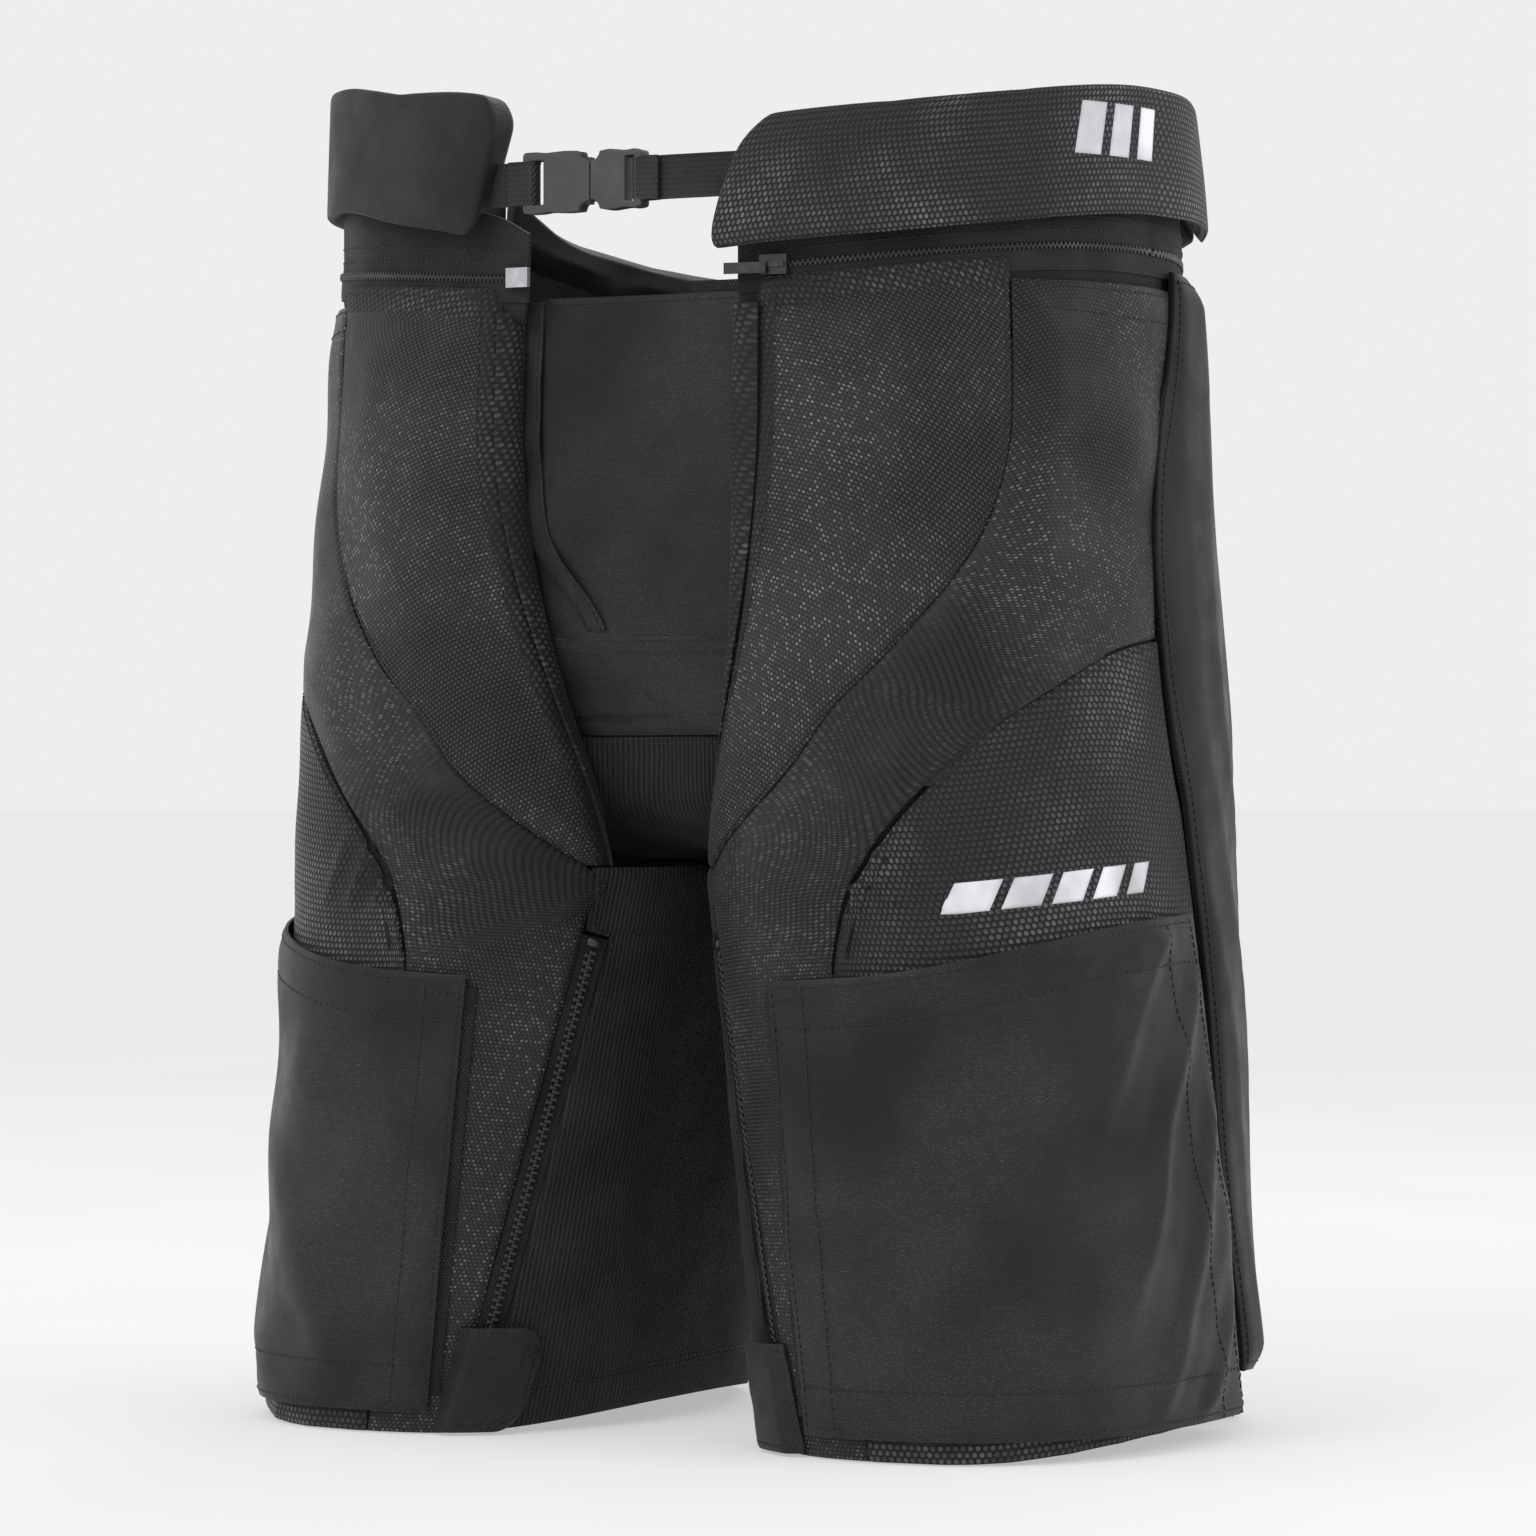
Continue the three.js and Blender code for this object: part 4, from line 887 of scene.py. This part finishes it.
def fly_piece(name, low, high, depth, thick, trim, material, **more):
    def place(s, t, w):
        level = lerp(low, high, t)
        x = lerp(-1, 1, s) * (fly_half(level) - trim)
        return np.stack([x, fly_face(level) + depth - w, height_of(level)], -1) * MM

    made = Panel(name + "_cloth", name, place, False, 124, (high - low) * RISE, 0, thick, material,
                 step=2.6, **more)
    return made.declare("stretched", "thigh_side_wall_left", "thigh_side_wall_right")


BAND_FOOT, BAND_TOP = 1.225, 1.4


def fly_relief(p):
    a, b = p.left, p.low
    drape = fold(a, b, 0.9, 48, 1.9, 0.5, 8) * smooth((120 - b) / 80) * smooth(p.left / 20)
    return drape + wobble(p, 0.6, 65, 11) * smooth(p.edge / 12)


fly = fly_piece("fly_panel", BAND_FOOT + 0.0025, 1.99, 0, 1.6, 0, "nylon", relief=fly_relief)
band = fly_piece("fly_band", BAND_FOOT + 0.03, BAND_TOP, -1.6, 1.2, 1, "nylon",
                 relief=lambda p: 0.8 * wobble(p, 1, 45, 12) * smooth(p.edge / 10)
                 - 0.4 * dent(p.high, 7, 1))


def placket_place(s, t, w):
    level = lerp(BAND_TOP + 0.01, 1.985, t)
    curve = 22 * (1 - smooth((level - BAND_TOP) / 0.2))
    x = -fly_half(level) + 2 + curve + s * 11
    return np.stack([x, fly_face(level) - 1.5 - w, height_of(level)], -1) * MM


placket = Panel("fly_placket_cloth", "fly_placket", placket_place, False, 11, 155, 1.2, 1.2, "nylon", step=2,
                relief=lambda p: wobble(p, 0.8, 30, 13), roll=(0.6, 1.5))
placket.declare("stretched", "fly_panel")


def hook_tab_place(s, t, w):
    z = height_of(2.0) + 3 - 30 * (1 - t)
    x = fly_half(1.95) - 5 - 34 * (1 - s)
    y = fly_face(level_of(z)) + 1.6 + 0.4 + 1.6 - w
    return np.stack([x + 0 * z, y + 0 * x, z + 0 * x], -1) * MM


hook_tab = Panel("fly_hook_tab_cloth", "fly_hook_tab", hook_tab_place, False, 34, 30, 1.6, 1.6, "hook",
                 step=2, roll=(0.3, 1.5))
hook_tab.declare("stretched", "fly_panel")


CROTCH_BACK = float(surface(1, np.array(1.0), np.array(INSEAM + 1.0))[1]) / MM - 3


def gusset_place(s, t, w):
    """Down from the fly and round under the crotch, then a narrow strip back to the seat's seam."""
    strip = np.clip((0.3 - t) / 0.3, 0, 1)
    a = np.clip((1 - t) / 0.7, 0, 1)
    turn = a * np.pi / 2
    top = height_of(BAND_FOOT)
    front = fly_face(BAND_FOOT) - FRAME_Y
    half = lerp(fly_half(BAND_FOOT) + lerp(-1, 14, smooth(a * 1.6)), CROTCH_GAP / 2 + 1, smooth(strip * 1.6))
    z = top - (top - INSEAM - 3) * np.sin(turn) - w * np.sin(turn)
    y = front + (-front - 6) * (1 - np.cos(turn)) - w * np.cos(turn) + FRAME_Y
    y = y + strip * (CROTCH_BACK - FRAME_Y + 6)
    z = z - 3.5 * smooth(strip * 6)
    return np.stack([lerp(-1, 1, s) * half, y, z], -1) * MM


gusset = Panel("crotch_gusset_cloth", "crotch_gusset", gusset_place, False, 124, 190, 0, 1.6, "knit",
               relief=lambda p: wobble(p, 0.7, 40, 14) * smooth(p.edge / 8), step=2.6)
gusset.declare("stretched", "fly_panel")
stitching("fly_stitches", "pants", [
    placket.line("r", 2), placket.line("l", 2), band.line("t", 2.4), band.line("t", 8), band.line("b", 2.4),
    fly.line("t", 3), gusset.line("t", 3),
])

TAPE_FACE = -2.6
WAIST_LEFT, WAIST_RIGHT = 0.122, 2 - 0.112
left_foot = through([(0.1, 8), (0.263, 15), (0.34, 19), (0.49, 27), (0.6, 24), (1, -16), (1.4, 24)])
right_foot = through(
    [(0.112, 9), (0.147, 18), (0.238, 28), (0.325, 38), (0.45, 38), (0.52, 34)]
    + [(0.6, 21), (0.68, 6), (0.76, -6), (0.86, -14), (1, -16), (1.4, 24)]
)


def to_u(q):
    return np.where(q < 1, q, 2 - q)


def belt_foot(q):
    return height_of(2.0) + np.where(q < 1, left_foot(q), right_foot(2 - q))


def chain_rise(q):
    return waist_edge(to_u(q)) + 4.2


def round_waist(q, z, w):
    """Points round the waist: q runs from the left front by the centre back (1) to the right front (2)."""
    first = surface(1, np.minimum(q, 1), z, w)
    second = surface(-1, np.minimum(2 - q, 1), z, w)
    return np.where((q < 1)[..., None], first, second)


def waist_tape(name, low, high, height, **more):
    """A tape of the waist zip; low and high give its edges' heights."""
    def place(s, t, w):
        q = lerp(WAIST_LEFT, WAIST_RIGHT, s)
        return round_waist(q, lerp(low(q), high(q), t), w)

    return Panel(name + "_cloth", name, place, False, 1080, height, TAPE_FACE, 2, "tape", **more)


# The belt's thickness, its face's place, its foot's slant and where a wing meets the back pad; then each block's
# inset from both faces and its share of the height.
BELT, BELT_OUT, BELT_SLANT, BELT_SPLIT = 19, 8, 1.5, 0.62
BELT_INSET, BELT_FROM, BELT_TO = 1.2, 0.005, 0.98
lower_tape = waist_tape(
    "waist_tape_lower", lambda q: waist_edge(to_u(q)) - 7, lambda q: chain_rise(q) - SEAM_GAP / 2, 10,
    step=2.5, roll=(0.3, 1),
)
# The upper tape's top edge is sewn into the belt's foot.
upper_tape = waist_tape(
    "waist_tape_upper", lambda q: chain_rise(q) + SEAM_GAP / 2,
    lambda q: belt_foot(q) + (BELT_OUT - TAPE_FACE) * BELT_SLANT + 1.5, 28,
    step=2.8, relief=lambda p: wobble(p, 0.8, 50, 15) * smooth(p.edge / 6), roll=(0.3, 1),
)
for tape in (lower_tape, upper_tape):
    tape.declare("stretched", "thigh_foam_left", "thigh_foam_right")
tube("waist_allowance", "pants", [lower_tape.line("b", 0)], 9.0, "tape", flat=0.1, lift=-1.9)
stitching("waist_stitches", "pants", [upper_tape.line("b", 6.5), upper_tape.line("b", 13)], 2.4, 1.0)


# ---- Zips ----
def add_block(points, faces, place, low, high, taper=0.25):
    """A small moulded block with a narrower top; place(x, y, z) gives the point."""
    first = len(points)
    for z, shrink in ((low[2], 0.0), (lerp(low[2], high[2], 0.6), 0.0), (high[2], taper)):
        dx, dy = (high[0] - low[0]) * shrink, (high[1] - low[1]) * shrink
        for x, y in ((low[0] + dx, low[1] + dy), (high[0] - dx, low[1] + dy),
                     (high[0] - dx, high[1] - dy), (low[0] + dx, high[1] - dy)):
            points.append(place(x, y, z))
    for k in (0, 4):
        for i in range(4):
            a, b = first + k + i, first + k + (i + 1) % 4
            faces.append((a, b, b + 4, a + 4))
    faces += [(first + 3, first + 2, first + 1, first), (first + 8, first + 9, first + 10, first + 11)]


def chain_of_teeth(name, body, place, length, pitch, half, tooth, low, high):
    points, faces = [], []
    count = int(length / pitch)
    for k in range(count):
        for side in (-1, 1):
            y = pitch * (k + (0.5 if side > 0 else 0))
            x0, x1 = sorted((side * half, -side * 0.35 * half))
            add_block(points, faces, place, (x0, y, low), (x1, y + tooth, high))
    made = make(name, points, faces, "teeth", body)
    made.data.polygons.foreach_set("use_smooth", [False] * len(made.data.polygons))
    return made


for side, tag in SIDES:
    foot = surface(side, ZIP_FOOT_U, ZIP_FOOT)
    head = surface(side, ZIP_HEAD_U, ZIP_HEAD)
    reach = np.linalg.norm(head - foot) / MM
    up = (head - foot) / np.linalg.norm(head - foot)
    middle = (ZIP_FOOT + ZIP_HEAD) / 2
    ax, ay, _ = along(np.array(zip_u(middle)), np.array(middle))
    out = np.cross([float(ax), side * float(ay), 0], up)
    out /= np.linalg.norm(out)
    right = np.cross(up, out)

    def on_zip(x, y, z):
        return foot + (right * x + up * y + out * z) * MM

    def tape_place(s, t, w):
        x, y = lerp(-ZIP_WIDTH / 2, ZIP_WIDTH / 2, s)[..., None], (t * reach)[..., None]
        return foot + (right * x + up * y + out * np.asarray(w)[..., None]) * MM

    tape = Panel(f"leg_zip_{tag}_tape", "leg_zip_" + tag, tape_place, False, ZIP_WIDTH, reach, -0.9, 1.0, "tape",
                 step=1.5, relief=lambda p: 0.35 * dent(p.edge, 1, 0.7), roll=(0.1, 0.5))
    tape.declare("stretched", cloths[tag]["mid"].obj.name)
    teeth = chain_of_teeth(f"leg_zip_teeth_{tag}", "pants", lambda x, y, z: on_zip(x, y + 3, z), reach - 8, 3.5,
                           2.9, 2.1, -1.0, 0.5)
    points, faces = [], []
    for low, high in (((-3.6, reach - 4.5, -0.9), (3.6, reach - 0.8, 1.1)), ((-3.2, 0.3, -0.9), (3.2, 2.6, 0.4))):
        add_block(points, faces, on_zip, low, high, 0.12)
    make(f"leg_zip_stops_{tag}", points, faces, "slider")
    stitching(f"leg_zip_stitches_{tag}", "pants", [tape.line("l", 1.1), tape.line("r", 1.1)], 2.2, 0.9, 0.4)


def on_waist(x, y, z):
    q = np.array(WAIST_LEFT + (WAIST_RIGHT - WAIST_LEFT) * y / WAIST_RUN)
    return round_waist(q, chain_rise(q) + x, np.array(TAPE_FACE + z))


WAIST_RUN = lower_tape.cut[0] / MM
chain_of_teeth("waist_teeth", "pants", on_waist, WAIST_RUN, 2.4, 1.7, 1.3, 0.1, 1.0)
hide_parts("waist_zip_chain")


# ---- Belt ----
def left_end(t):
    return lerp(0.1, 0.135, t**1.4)


def right_end(t):
    return lerp(0.147, 0.125, t)


def belt_height(q):
    u = to_u(q)
    left = lerp(64, 36, smooth((u - 0.5) / 0.45))
    right = lerp(64, 36, smooth((u - 0.5) / 0.2)) + 8 * (1 - smooth((u - 0.14) / 0.16))
    return np.where(q < 1, left, right)


def belt_point(q, t, w):
    foot = belt_foot(q)
    return round_waist(q, lerp(foot + (BELT_OUT - w) * BELT_SLANT, foot + belt_height(q), t), w)


def pillow(name, place, sizes, material, step=5.0):
    """A closed block on six grids; place(s, t, r) has r 0 at the back and 1 in front."""
    points, faces, uvs = [], [], []
    counts = [max(int(round(v / step)), 2) for v in sizes]
    for k in range(3):
        i, j = [n for n in range(3) if n != k]
        a, b = np.meshgrid(np.linspace(0, 1, counts[i] + 1), np.linspace(0, 1, counts[j] + 1))
        for end in (0, 1):
            coords = [None] * 3
            coords[i], coords[j], coords[k] = a, b, np.full(a.shape, float(end))
            first = sum(len(p) for p in points)
            points.append(place(*coords).reshape(-1, 3))
            uvs.append(np.stack([a * sizes[i], b * sizes[j]], -1).reshape(-1, 2) * MM)
            index = first + np.arange(a.size).reshape(a.shape)
            quads = grid_quads(index)
            faces.append(quads if (end == 1) == (k != 1) else quads[:, ::-1])
    uv = np.concatenate(uvs)
    return weld(make(name, np.concatenate(points), np.concatenate(faces).tolist(), material, uv=uv), 2e-5)


def swell(obj, pressure=4.0, cap=5.0, frames=20, stiffness=15.0):
    """Blows the closed cloth up a little, as its foam does, with no point moving more than the cap in mm."""
    mesh = obj.data
    start = np.array([v.co for v in mesh.vertices])
    parent = obj.parent
    obj.parent = None
    cloth = obj.modifiers.new("cloth", "CLOTH")
    put = cloth.settings
    put.use_pressure, put.uniform_pressure_force = True, pressure
    put.tension_stiffness = put.compression_stiffness = stiffness
    put.bending_stiffness, put.mass, put.effector_weights.gravity = 0.5, 0.3, 0
    cloth.point_cache.frame_start, cloth.point_cache.frame_end = 1, frames
    scene = bpy.context.scene
    scene.frame_start, scene.frame_end = 1, frames
    for frame_number in range(1, frames + 1):
        scene.frame_set(frame_number)
    evaluated = obj.evaluated_get(bpy.context.evaluated_depsgraph_get())
    end = np.array([v.co for v in evaluated.data.vertices])
    obj.modifiers.remove(cloth)
    scene.frame_set(1)
    move = end - start
    far = np.linalg.norm(move, axis=1, keepdims=True)
    move *= np.minimum(1, cap * MM / np.maximum(far, 1e-9))
    mesh.vertices.foreach_set("co", (start + move).astype(np.float32).ravel())
    mesh.update()
    obj.parent = parent


def subdivide(obj):
    modifier = obj.modifiers.new("finer", "SUBSURF")
    modifier.levels = modifier.render_levels = 1
    finer = bpy.data.meshes.new_from_object(obj.evaluated_get(bpy.context.evaluated_depsgraph_get()))
    obj.modifiers.remove(modifier)
    obj.data = finer


def belt_block(q, t, r):
    w = lerp(BELT_OUT - BELT + BELT_INSET, BELT_OUT - BELT_INSET, r)
    return belt_point(q, lerp(BELT_FROM, BELT_TO, t), w)


def wing_place(side, end):
    def place(s, t, r):
        corner = np.clip((t - 0.72) / 0.28, 0, 1) ** 2 * 0.018 + np.clip((0.14 - t) / 0.14, 0, 1) ** 2 * 0.007
        tip = end(t) + in_u(np.full(t.shape, 0.13), height_of(2.2), 2) + corner
        u = lerp(tip, BELT_SPLIT, s)
        q = u if side > 0 else 2 - u
        return belt_block(q, t, r)

    return place


def back_place(s, t, r):
    edge = BELT_SPLIT + 0.0015
    return belt_block(lerp(edge, 2 - edge, s), t, r)


belts = {
    "left": pillow("belt_wing_left", wing_place(1, left_end), (390, 64, 18), "belt_mesh"),
    "right": pillow("belt_wing_right", wing_place(-1, right_end), (385, 64, 18), "belt_twill"),
    "back": pillow("belt_back_pad", back_place, (330, 40, 18), "belt_twill"),
}
for tag, belt in belts.items():
    swell(belt)
    subdivide(belt)
    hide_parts(*(["belt_back"] if tag == "back" else ["belt_cover_" + tag, "belt_foam_" + tag]))


def snap(obj, points):
    """The nearest points on a piece, and its normals there."""
    tree = BVHTree.FromPolygons([v.co for v in obj.data.vertices], [f.vertices[:] for f in obj.data.polygons])
    found = [tree.find_nearest(Vector(p)) for p in points]
    return np.array([f[0] for f in found]), np.array([f[1] for f in found])


# ---- Webbing and buckle ----
WEBBING, WEBBING_WIDTH, BAR, LOOP = 1.6, 20, 3.5, 3.43
box_low, box_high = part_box("buckle_socket")
STRAP_Z = (box_low.z + box_high.z) / 2 / MM
STRAP_Y = (box_low.y + box_high.y) / 2 / MM
SOCKET_END = box_low.x / MM
PLUG_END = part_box("buckle_plug")[1].x / MM


def strap(name, start, bar, toward, body):
    path = [(start, 0), (bar - toward * 16, 0), (bar - toward * 10, 0.6), (bar - toward * 4.5, LOOP)]
    path.append((bar, LOOP))
    for k in range(1, 9):
        turn = math.pi * k / 8
        path.append((bar + toward * math.sin(turn) * LOOP, math.cos(turn) * LOOP))
    path += [(bar - toward * 5, -LOOP), (bar - toward * 10, -LOOP * 0.9)]
    path = np.array(path)
    total = np.concatenate([[0], np.cumsum(np.linalg.norm(np.diff(path, axis=0), axis=1))])

    def place(s, t, w):
        at = s * total[-1]
        x, y = np.interp(at, total, path[:, 0]), np.interp(at, total, path[:, 1])
        ahead = np.clip(at + 0.4, 0, total[-1])
        behind = np.clip(at - 0.4, 0, total[-1])
        dx = np.interp(ahead, total, path[:, 0]) - np.interp(behind, total, path[:, 0])
        dy = np.interp(ahead, total, path[:, 1]) - np.interp(behind, total, path[:, 1])
        size = np.hypot(dx, dy) + 1e-9
        z = STRAP_Z + lerp(-WEBBING_WIDTH / 2, WEBBING_WIDTH / 2, t)
        return np.stack([x + dy / size * w, y + STRAP_Y - dx / size * w, z], -1) * MM

    made = Panel(name + "_webbing", name, place, False, total[-1], WEBBING_WIDTH, WEBBING / 2, WEBBING, "webbing",
                 step=1.0, body=body, roll=(0.35, 1.6))
    return made.declare("stretched", "buckle_socket" if body == "pants" else "buckle_plug")


right_box, left_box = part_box("strap_right"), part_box("strap_left")
strap("strap_right", right_box[0].x / MM + 0.2, SOCKET_END + BAR / 2, 1, "pants")
strap("strap_left", left_box[1].x / MM - 0.2, PLUG_END - BAR / 2, -1, "plug")


# ---- Buckle: two moulded halves with waisted sides, slots and a hollow mouth ----
def rounded(points, radius, steps=5):
    """A closed outline with its corners rounded."""
    out = []
    for k, here in enumerate(points):
        here = np.array(here, float)
        before, after = np.array(points[k - 1], float), np.array(points[(k + 1) % len(points)], float)
        a, b = before - here, after - here
        reach = min(radius, 0.45 * np.linalg.norm(a), 0.45 * np.linalg.norm(b))
        first, last = here + a / np.linalg.norm(a) * reach, here + b / np.linalg.norm(b) * reach
        for t in np.linspace(0, 1, steps):
            out.append(first * (1 - t) ** 2 + here * 2 * t * (1 - t) + last * t**2)
    return out


def mirrored_outline(top):
    """A closed outline from its upper half, given from left to right."""
    return list(top) + [(x, -z) for x, z in reversed(top)]


def plate(name, outlines, near, far, bevel=0.5, radius=1.6):
    """A moulded plate in the belt's own plane: outline, then holes, with soft edges."""
    curve = bpy.data.curves.new(name, "CURVE")
    curve.dimensions, curve.fill_mode = "2D", "BOTH"
    for k, outline in enumerate(outlines):
        points = rounded(outline, radius if k == 0 else 0.9)
        spline = curve.splines.new("POLY")
        spline.points.add(len(points) - 1)
        for q, (x, z) in zip(spline.points, points):
            q.co = (x, z, 0, 1)
        spline.use_cyclic_u = True
    curve.extrude = (far - near) / 2 - bevel
    curve.bevel_depth, curve.bevel_resolution, curve.offset = bevel, 2, -bevel
    obj = bpy.data.objects.new(name, curve)
    mesh = bpy.data.meshes.new_from_object(obj)
    bpy.data.objects.remove(obj)
    co = np.array([v.co for v in mesh.vertices])
    co = np.stack([co[:, 0], -co[:, 2] + (near + far) / 2, co[:, 1]], -1)
    faces = [tuple(f.vertices) for f in mesh.polygons]
    bpy.data.meshes.remove(mesh)
    return co, faces


def moulding(name, plates, body):
    points, faces = [], []
    for co, found in plates:
        first = len(points)
        points += [(x * MM, (y + STRAP_Y) * MM, (z + STRAP_Z) * MM) for x, y, z in co]
        faces += [tuple(first + i for i in f) for f in found]
    obj = weld(make(name, points, faces, "buckle", body), 1e-6)
    obj.data.set_sharp_from_angle(angle=math.radians(32))
    return obj


MOUTH = -17.28
BUCKLE_HALF, BUCKLE_FACE = 13.5, 4.0
quarter = np.linspace(math.pi, math.pi / 2, 7)
waist = [(MOUTH + 5.6 * math.cos(a), BUCKLE_HALF - 0.3 - 4.6 * math.sin(a)) for a in quarter]
socket_top = [(SOCKET_END, 9.5), (SOCKET_END, BUCKLE_HALF), (-44, BUCKLE_HALF), (-40, 12.9), (-30, BUCKLE_HALF)]
socket_top += [(x, z) for x, z in waist[:-1]] + [(MOUTH - 0.1, waist[-1][1])]
bar_hole = mirrored_outline([(SOCKET_END + BAR, 10.2), (-41.2, 10.2)])
face = [mirrored_outline(socket_top), bar_hole]
socket = moulding("buckle_socket_shell", [
    plate("front", face, -BUCKLE_FACE, -1.9),
    plate("back", face, 1.9, BUCKLE_FACE),
    plate("root", [mirrored_outline([(SOCKET_END + 0.3, BUCKLE_HALF - 0.4), (-36, BUCKLE_HALF - 0.5)]), bar_hole],
          -2.3, 2.3, 0.3),
], "pants")
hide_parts("buckle_socket")
plug_waist = [(2 * MOUTH - x, z) for x, z in reversed(waist)]
plug_top = [(MOUTH + 0.8, plug_waist[0][1])] + plug_waist[1:] + [(-7, BUCKLE_HALF + 0.4), (-3, BUCKLE_HALF)]
plug_top += [(2, 12.9), (6, BUCKLE_HALF), (PLUG_END, 12.9), (PLUG_END, 8.5)]
slot_hole = mirrored_outline([(1.6, 10.4), (PLUG_END - BAR, 10.4)])
plug = moulding("buckle_plug_shell", [
    plate("body", [mirrored_outline(plug_top), slot_hole], -BUCKLE_FACE, BUCKLE_FACE, 0.5),
    plate("tongue", [mirrored_outline([(-31.5, 1.6), (MOUTH + 1, 2.2)])], -1.5, 1.5, 0.4, 1.0),
], "plug")
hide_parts("buckle_plug")


# ---- Marks: plain slanted bars, embroidered ----
def bars(name, side, body_piece, starts, z_low, z_high, slant, tilt, w):
    """Short slanted bars that get narrower, laid on the cloth; tilt lifts the row along its length, in mm."""
    points, faces = [], []
    full = starts[-1][1] - starts[0][0]
    across, up = 7, 13
    a, b = np.meshgrid(np.linspace(0, 1, across), np.linspace(0, 1, up))
    for u0, u1 in starts:
        u = lerp(u0, u1, a)
        z = lerp(z_low, z_high, b) + tilt * (u - starts[0][0]) / full
        u = u + in_u(u, z, slant * (b - 0.5))
        under, normal = snap(body_piece, surface(side, u, z, w).reshape(-1, 3))
        rim = (np.minimum.reduce([a, 1 - a, b * 1.0, 1 - b]) <= 0).ravel()
        lift = np.where(rim, 0.15, 0.75)[:, None] * MM
        first, n = len(points), a.size
        points += list(under + normal * lift) + list(under - normal * 0.25 * MM)
        index = first + np.arange(n).reshape(a.shape)
        faces += slab_faces(index, n)[0].tolist()
    return make(name, points, faces, "embroidery")


def row_of(first, last, widths, gap):
    """Bars filling first to last, with widths in proportion and equal gaps."""
    unit = (last - first - gap * (len(widths) - 1)) / sum(widths)
    out, at = [], first
    for width in widths:
        out.append((at, at + unit * width))
        at += unit * width + gap
    return out


bars("belt_mark", 1, belts["left"], row_of(0.412, 0.49, (5, 4, 3), 0.009), 583, 607, 5, 0, 10)
thigh_row = row_of(0.318, 0.468, (7, 6, 5, 4, 3), 0.008)
bars("thigh_mark", 1, cloths["left"]["mesh"].obj, thigh_row, 242, 256, 7, 9, 3)


# ---- CAD nodes that stay ----
KEPT = {
    "buckle": ("buckle_prong_top", "buckle_prong_bottom"),
    "slider": ("waist_slider", "waist_pull", "leg_slider_left", "leg_slider_right")
    + ("leg_pull_left", "leg_pull_right"),
    "bright": ("waist_pin_box",),
    "plastic": ("thigh_plate_left", "thigh_plate_right"),
}
for material, names in KEPT.items():
    for name in names:
        node = frame["nodes"][name]
        node.data.materials.clear()
        node.data.materials.append(MATERIALS[material])
        bevel = node.modifiers.new("rounded", "BEVEL")
        bevel.width = (0.9 if material == "buckle" else 0.35) * MM
        bevel.segments = 3
        bevel.limit_method = "ANGLE"
        bevel.angle_limit = math.radians(35)
        bevel.harden_normals = False


# ---- Pads inside ----
def pad_patch(s, t):
    level = lerp(1.06, 1.96, t)
    z = height_of(level)
    first = pad_edge(level) + in_u(0.14 + 0 * z, z, 4)
    return lerp(first, side_seam(level) - 0.02, s), z


def hip_pad_patch(s, t):
    level = lerp(1.2, 1.9, t)
    return lerp(side_seam(level) + 0.005, HIP_BACK + 0.05, s), height_of(level)


for side, tag in SIDES:
    for name, patch, width, height, thick in (
        ("thigh_foam", pad_patch, 190, 238, 11.4), ("hip_pad", hip_pad_patch, 95, 185, 14)
    ):
        made = panel(name, side, patch, width, height, PAD_DEPTH, -thick, "lining", step=4, roll=(0, 1))
        made.obj.data.flip_normals()


def tail_place(s, t, w):
    return round_waist(lerp(0.87, 1.13, s), lerp(height_of(1.35), height_of(1.75), t), w)


tail = Panel("tailbone_pad_cloth", "tailbone_pad", tail_place, False, 150, 106, PAD_DEPTH, -14.4, "lining",
             step=4, roll=(0, 1))
tail.obj.data.flip_normals()


# ---- Stage ----
PALE = 0.855
scene = bpy.context.scene
scene.view_settings.view_transform = "Standard"
world = bpy.data.worlds.new("studio")
scene.world = world
world.use_nodes = True
world.node_tree.nodes["Background"].inputs[0].default_value = (PALE, PALE, PALE, 1)
world.node_tree.nodes["Background"].inputs[1].default_value = 1.0

ground = Graph("ground", (0.46, 0.46, 0.46), 0.9, specular=0.0)
ground.shader.inputs["Emission Color"].default_value = (1, 1, 1, 1)
ground.shader.inputs["Emission Strength"].default_value = 0.43
soil = ground.mix(ground.ramp(ground.noise(3, 2), 0.3, 0.7), (0.45, 0.45, 0.45), (0.47, 0.47, 0.47))
ground.finish(soil)
disc = bmesh.new()
bmesh.ops.create_circle(disc, cap_ends=True, segments=96, radius=40.0)
floor_mesh = bpy.data.meshes.new("floor")
disc.to_mesh(floor_mesh)
disc.free()
floor = bpy.data.objects.new("floor", floor_mesh)
floor.location.z = -0.0006
scene.collection.objects.link(floor)
floor_mesh.materials.append(ground.material)


LAMPS_AIM = Vector((0, 0, 0.32))


def lamp(name, azimuth, elevation, distance, size, power_w):
    light = bpy.data.lights.new(name, "AREA")
    light.energy, light.size = power_w, size
    obj = bpy.data.objects.new(name, light)
    a, e = math.radians(azimuth), math.radians(elevation)
    away = Vector((math.sin(a) * math.cos(e), -math.cos(a) * math.cos(e), math.sin(e)))
    obj.location = LAMPS_AIM + away * distance
    obj.rotation_euler = away.to_track_quat("Z", "Y").to_euler()
    scene.collection.objects.link(obj)


lamp("key", -12, 38, 2.2, 0.9, 12)
lamp("side", 95, 22, 2.0, 0.8, 7)
lamp("fill", -80, 15, 2.4, 0.9, 3)
lamp("back", 190, 45, 2.2, 1.0, 7)
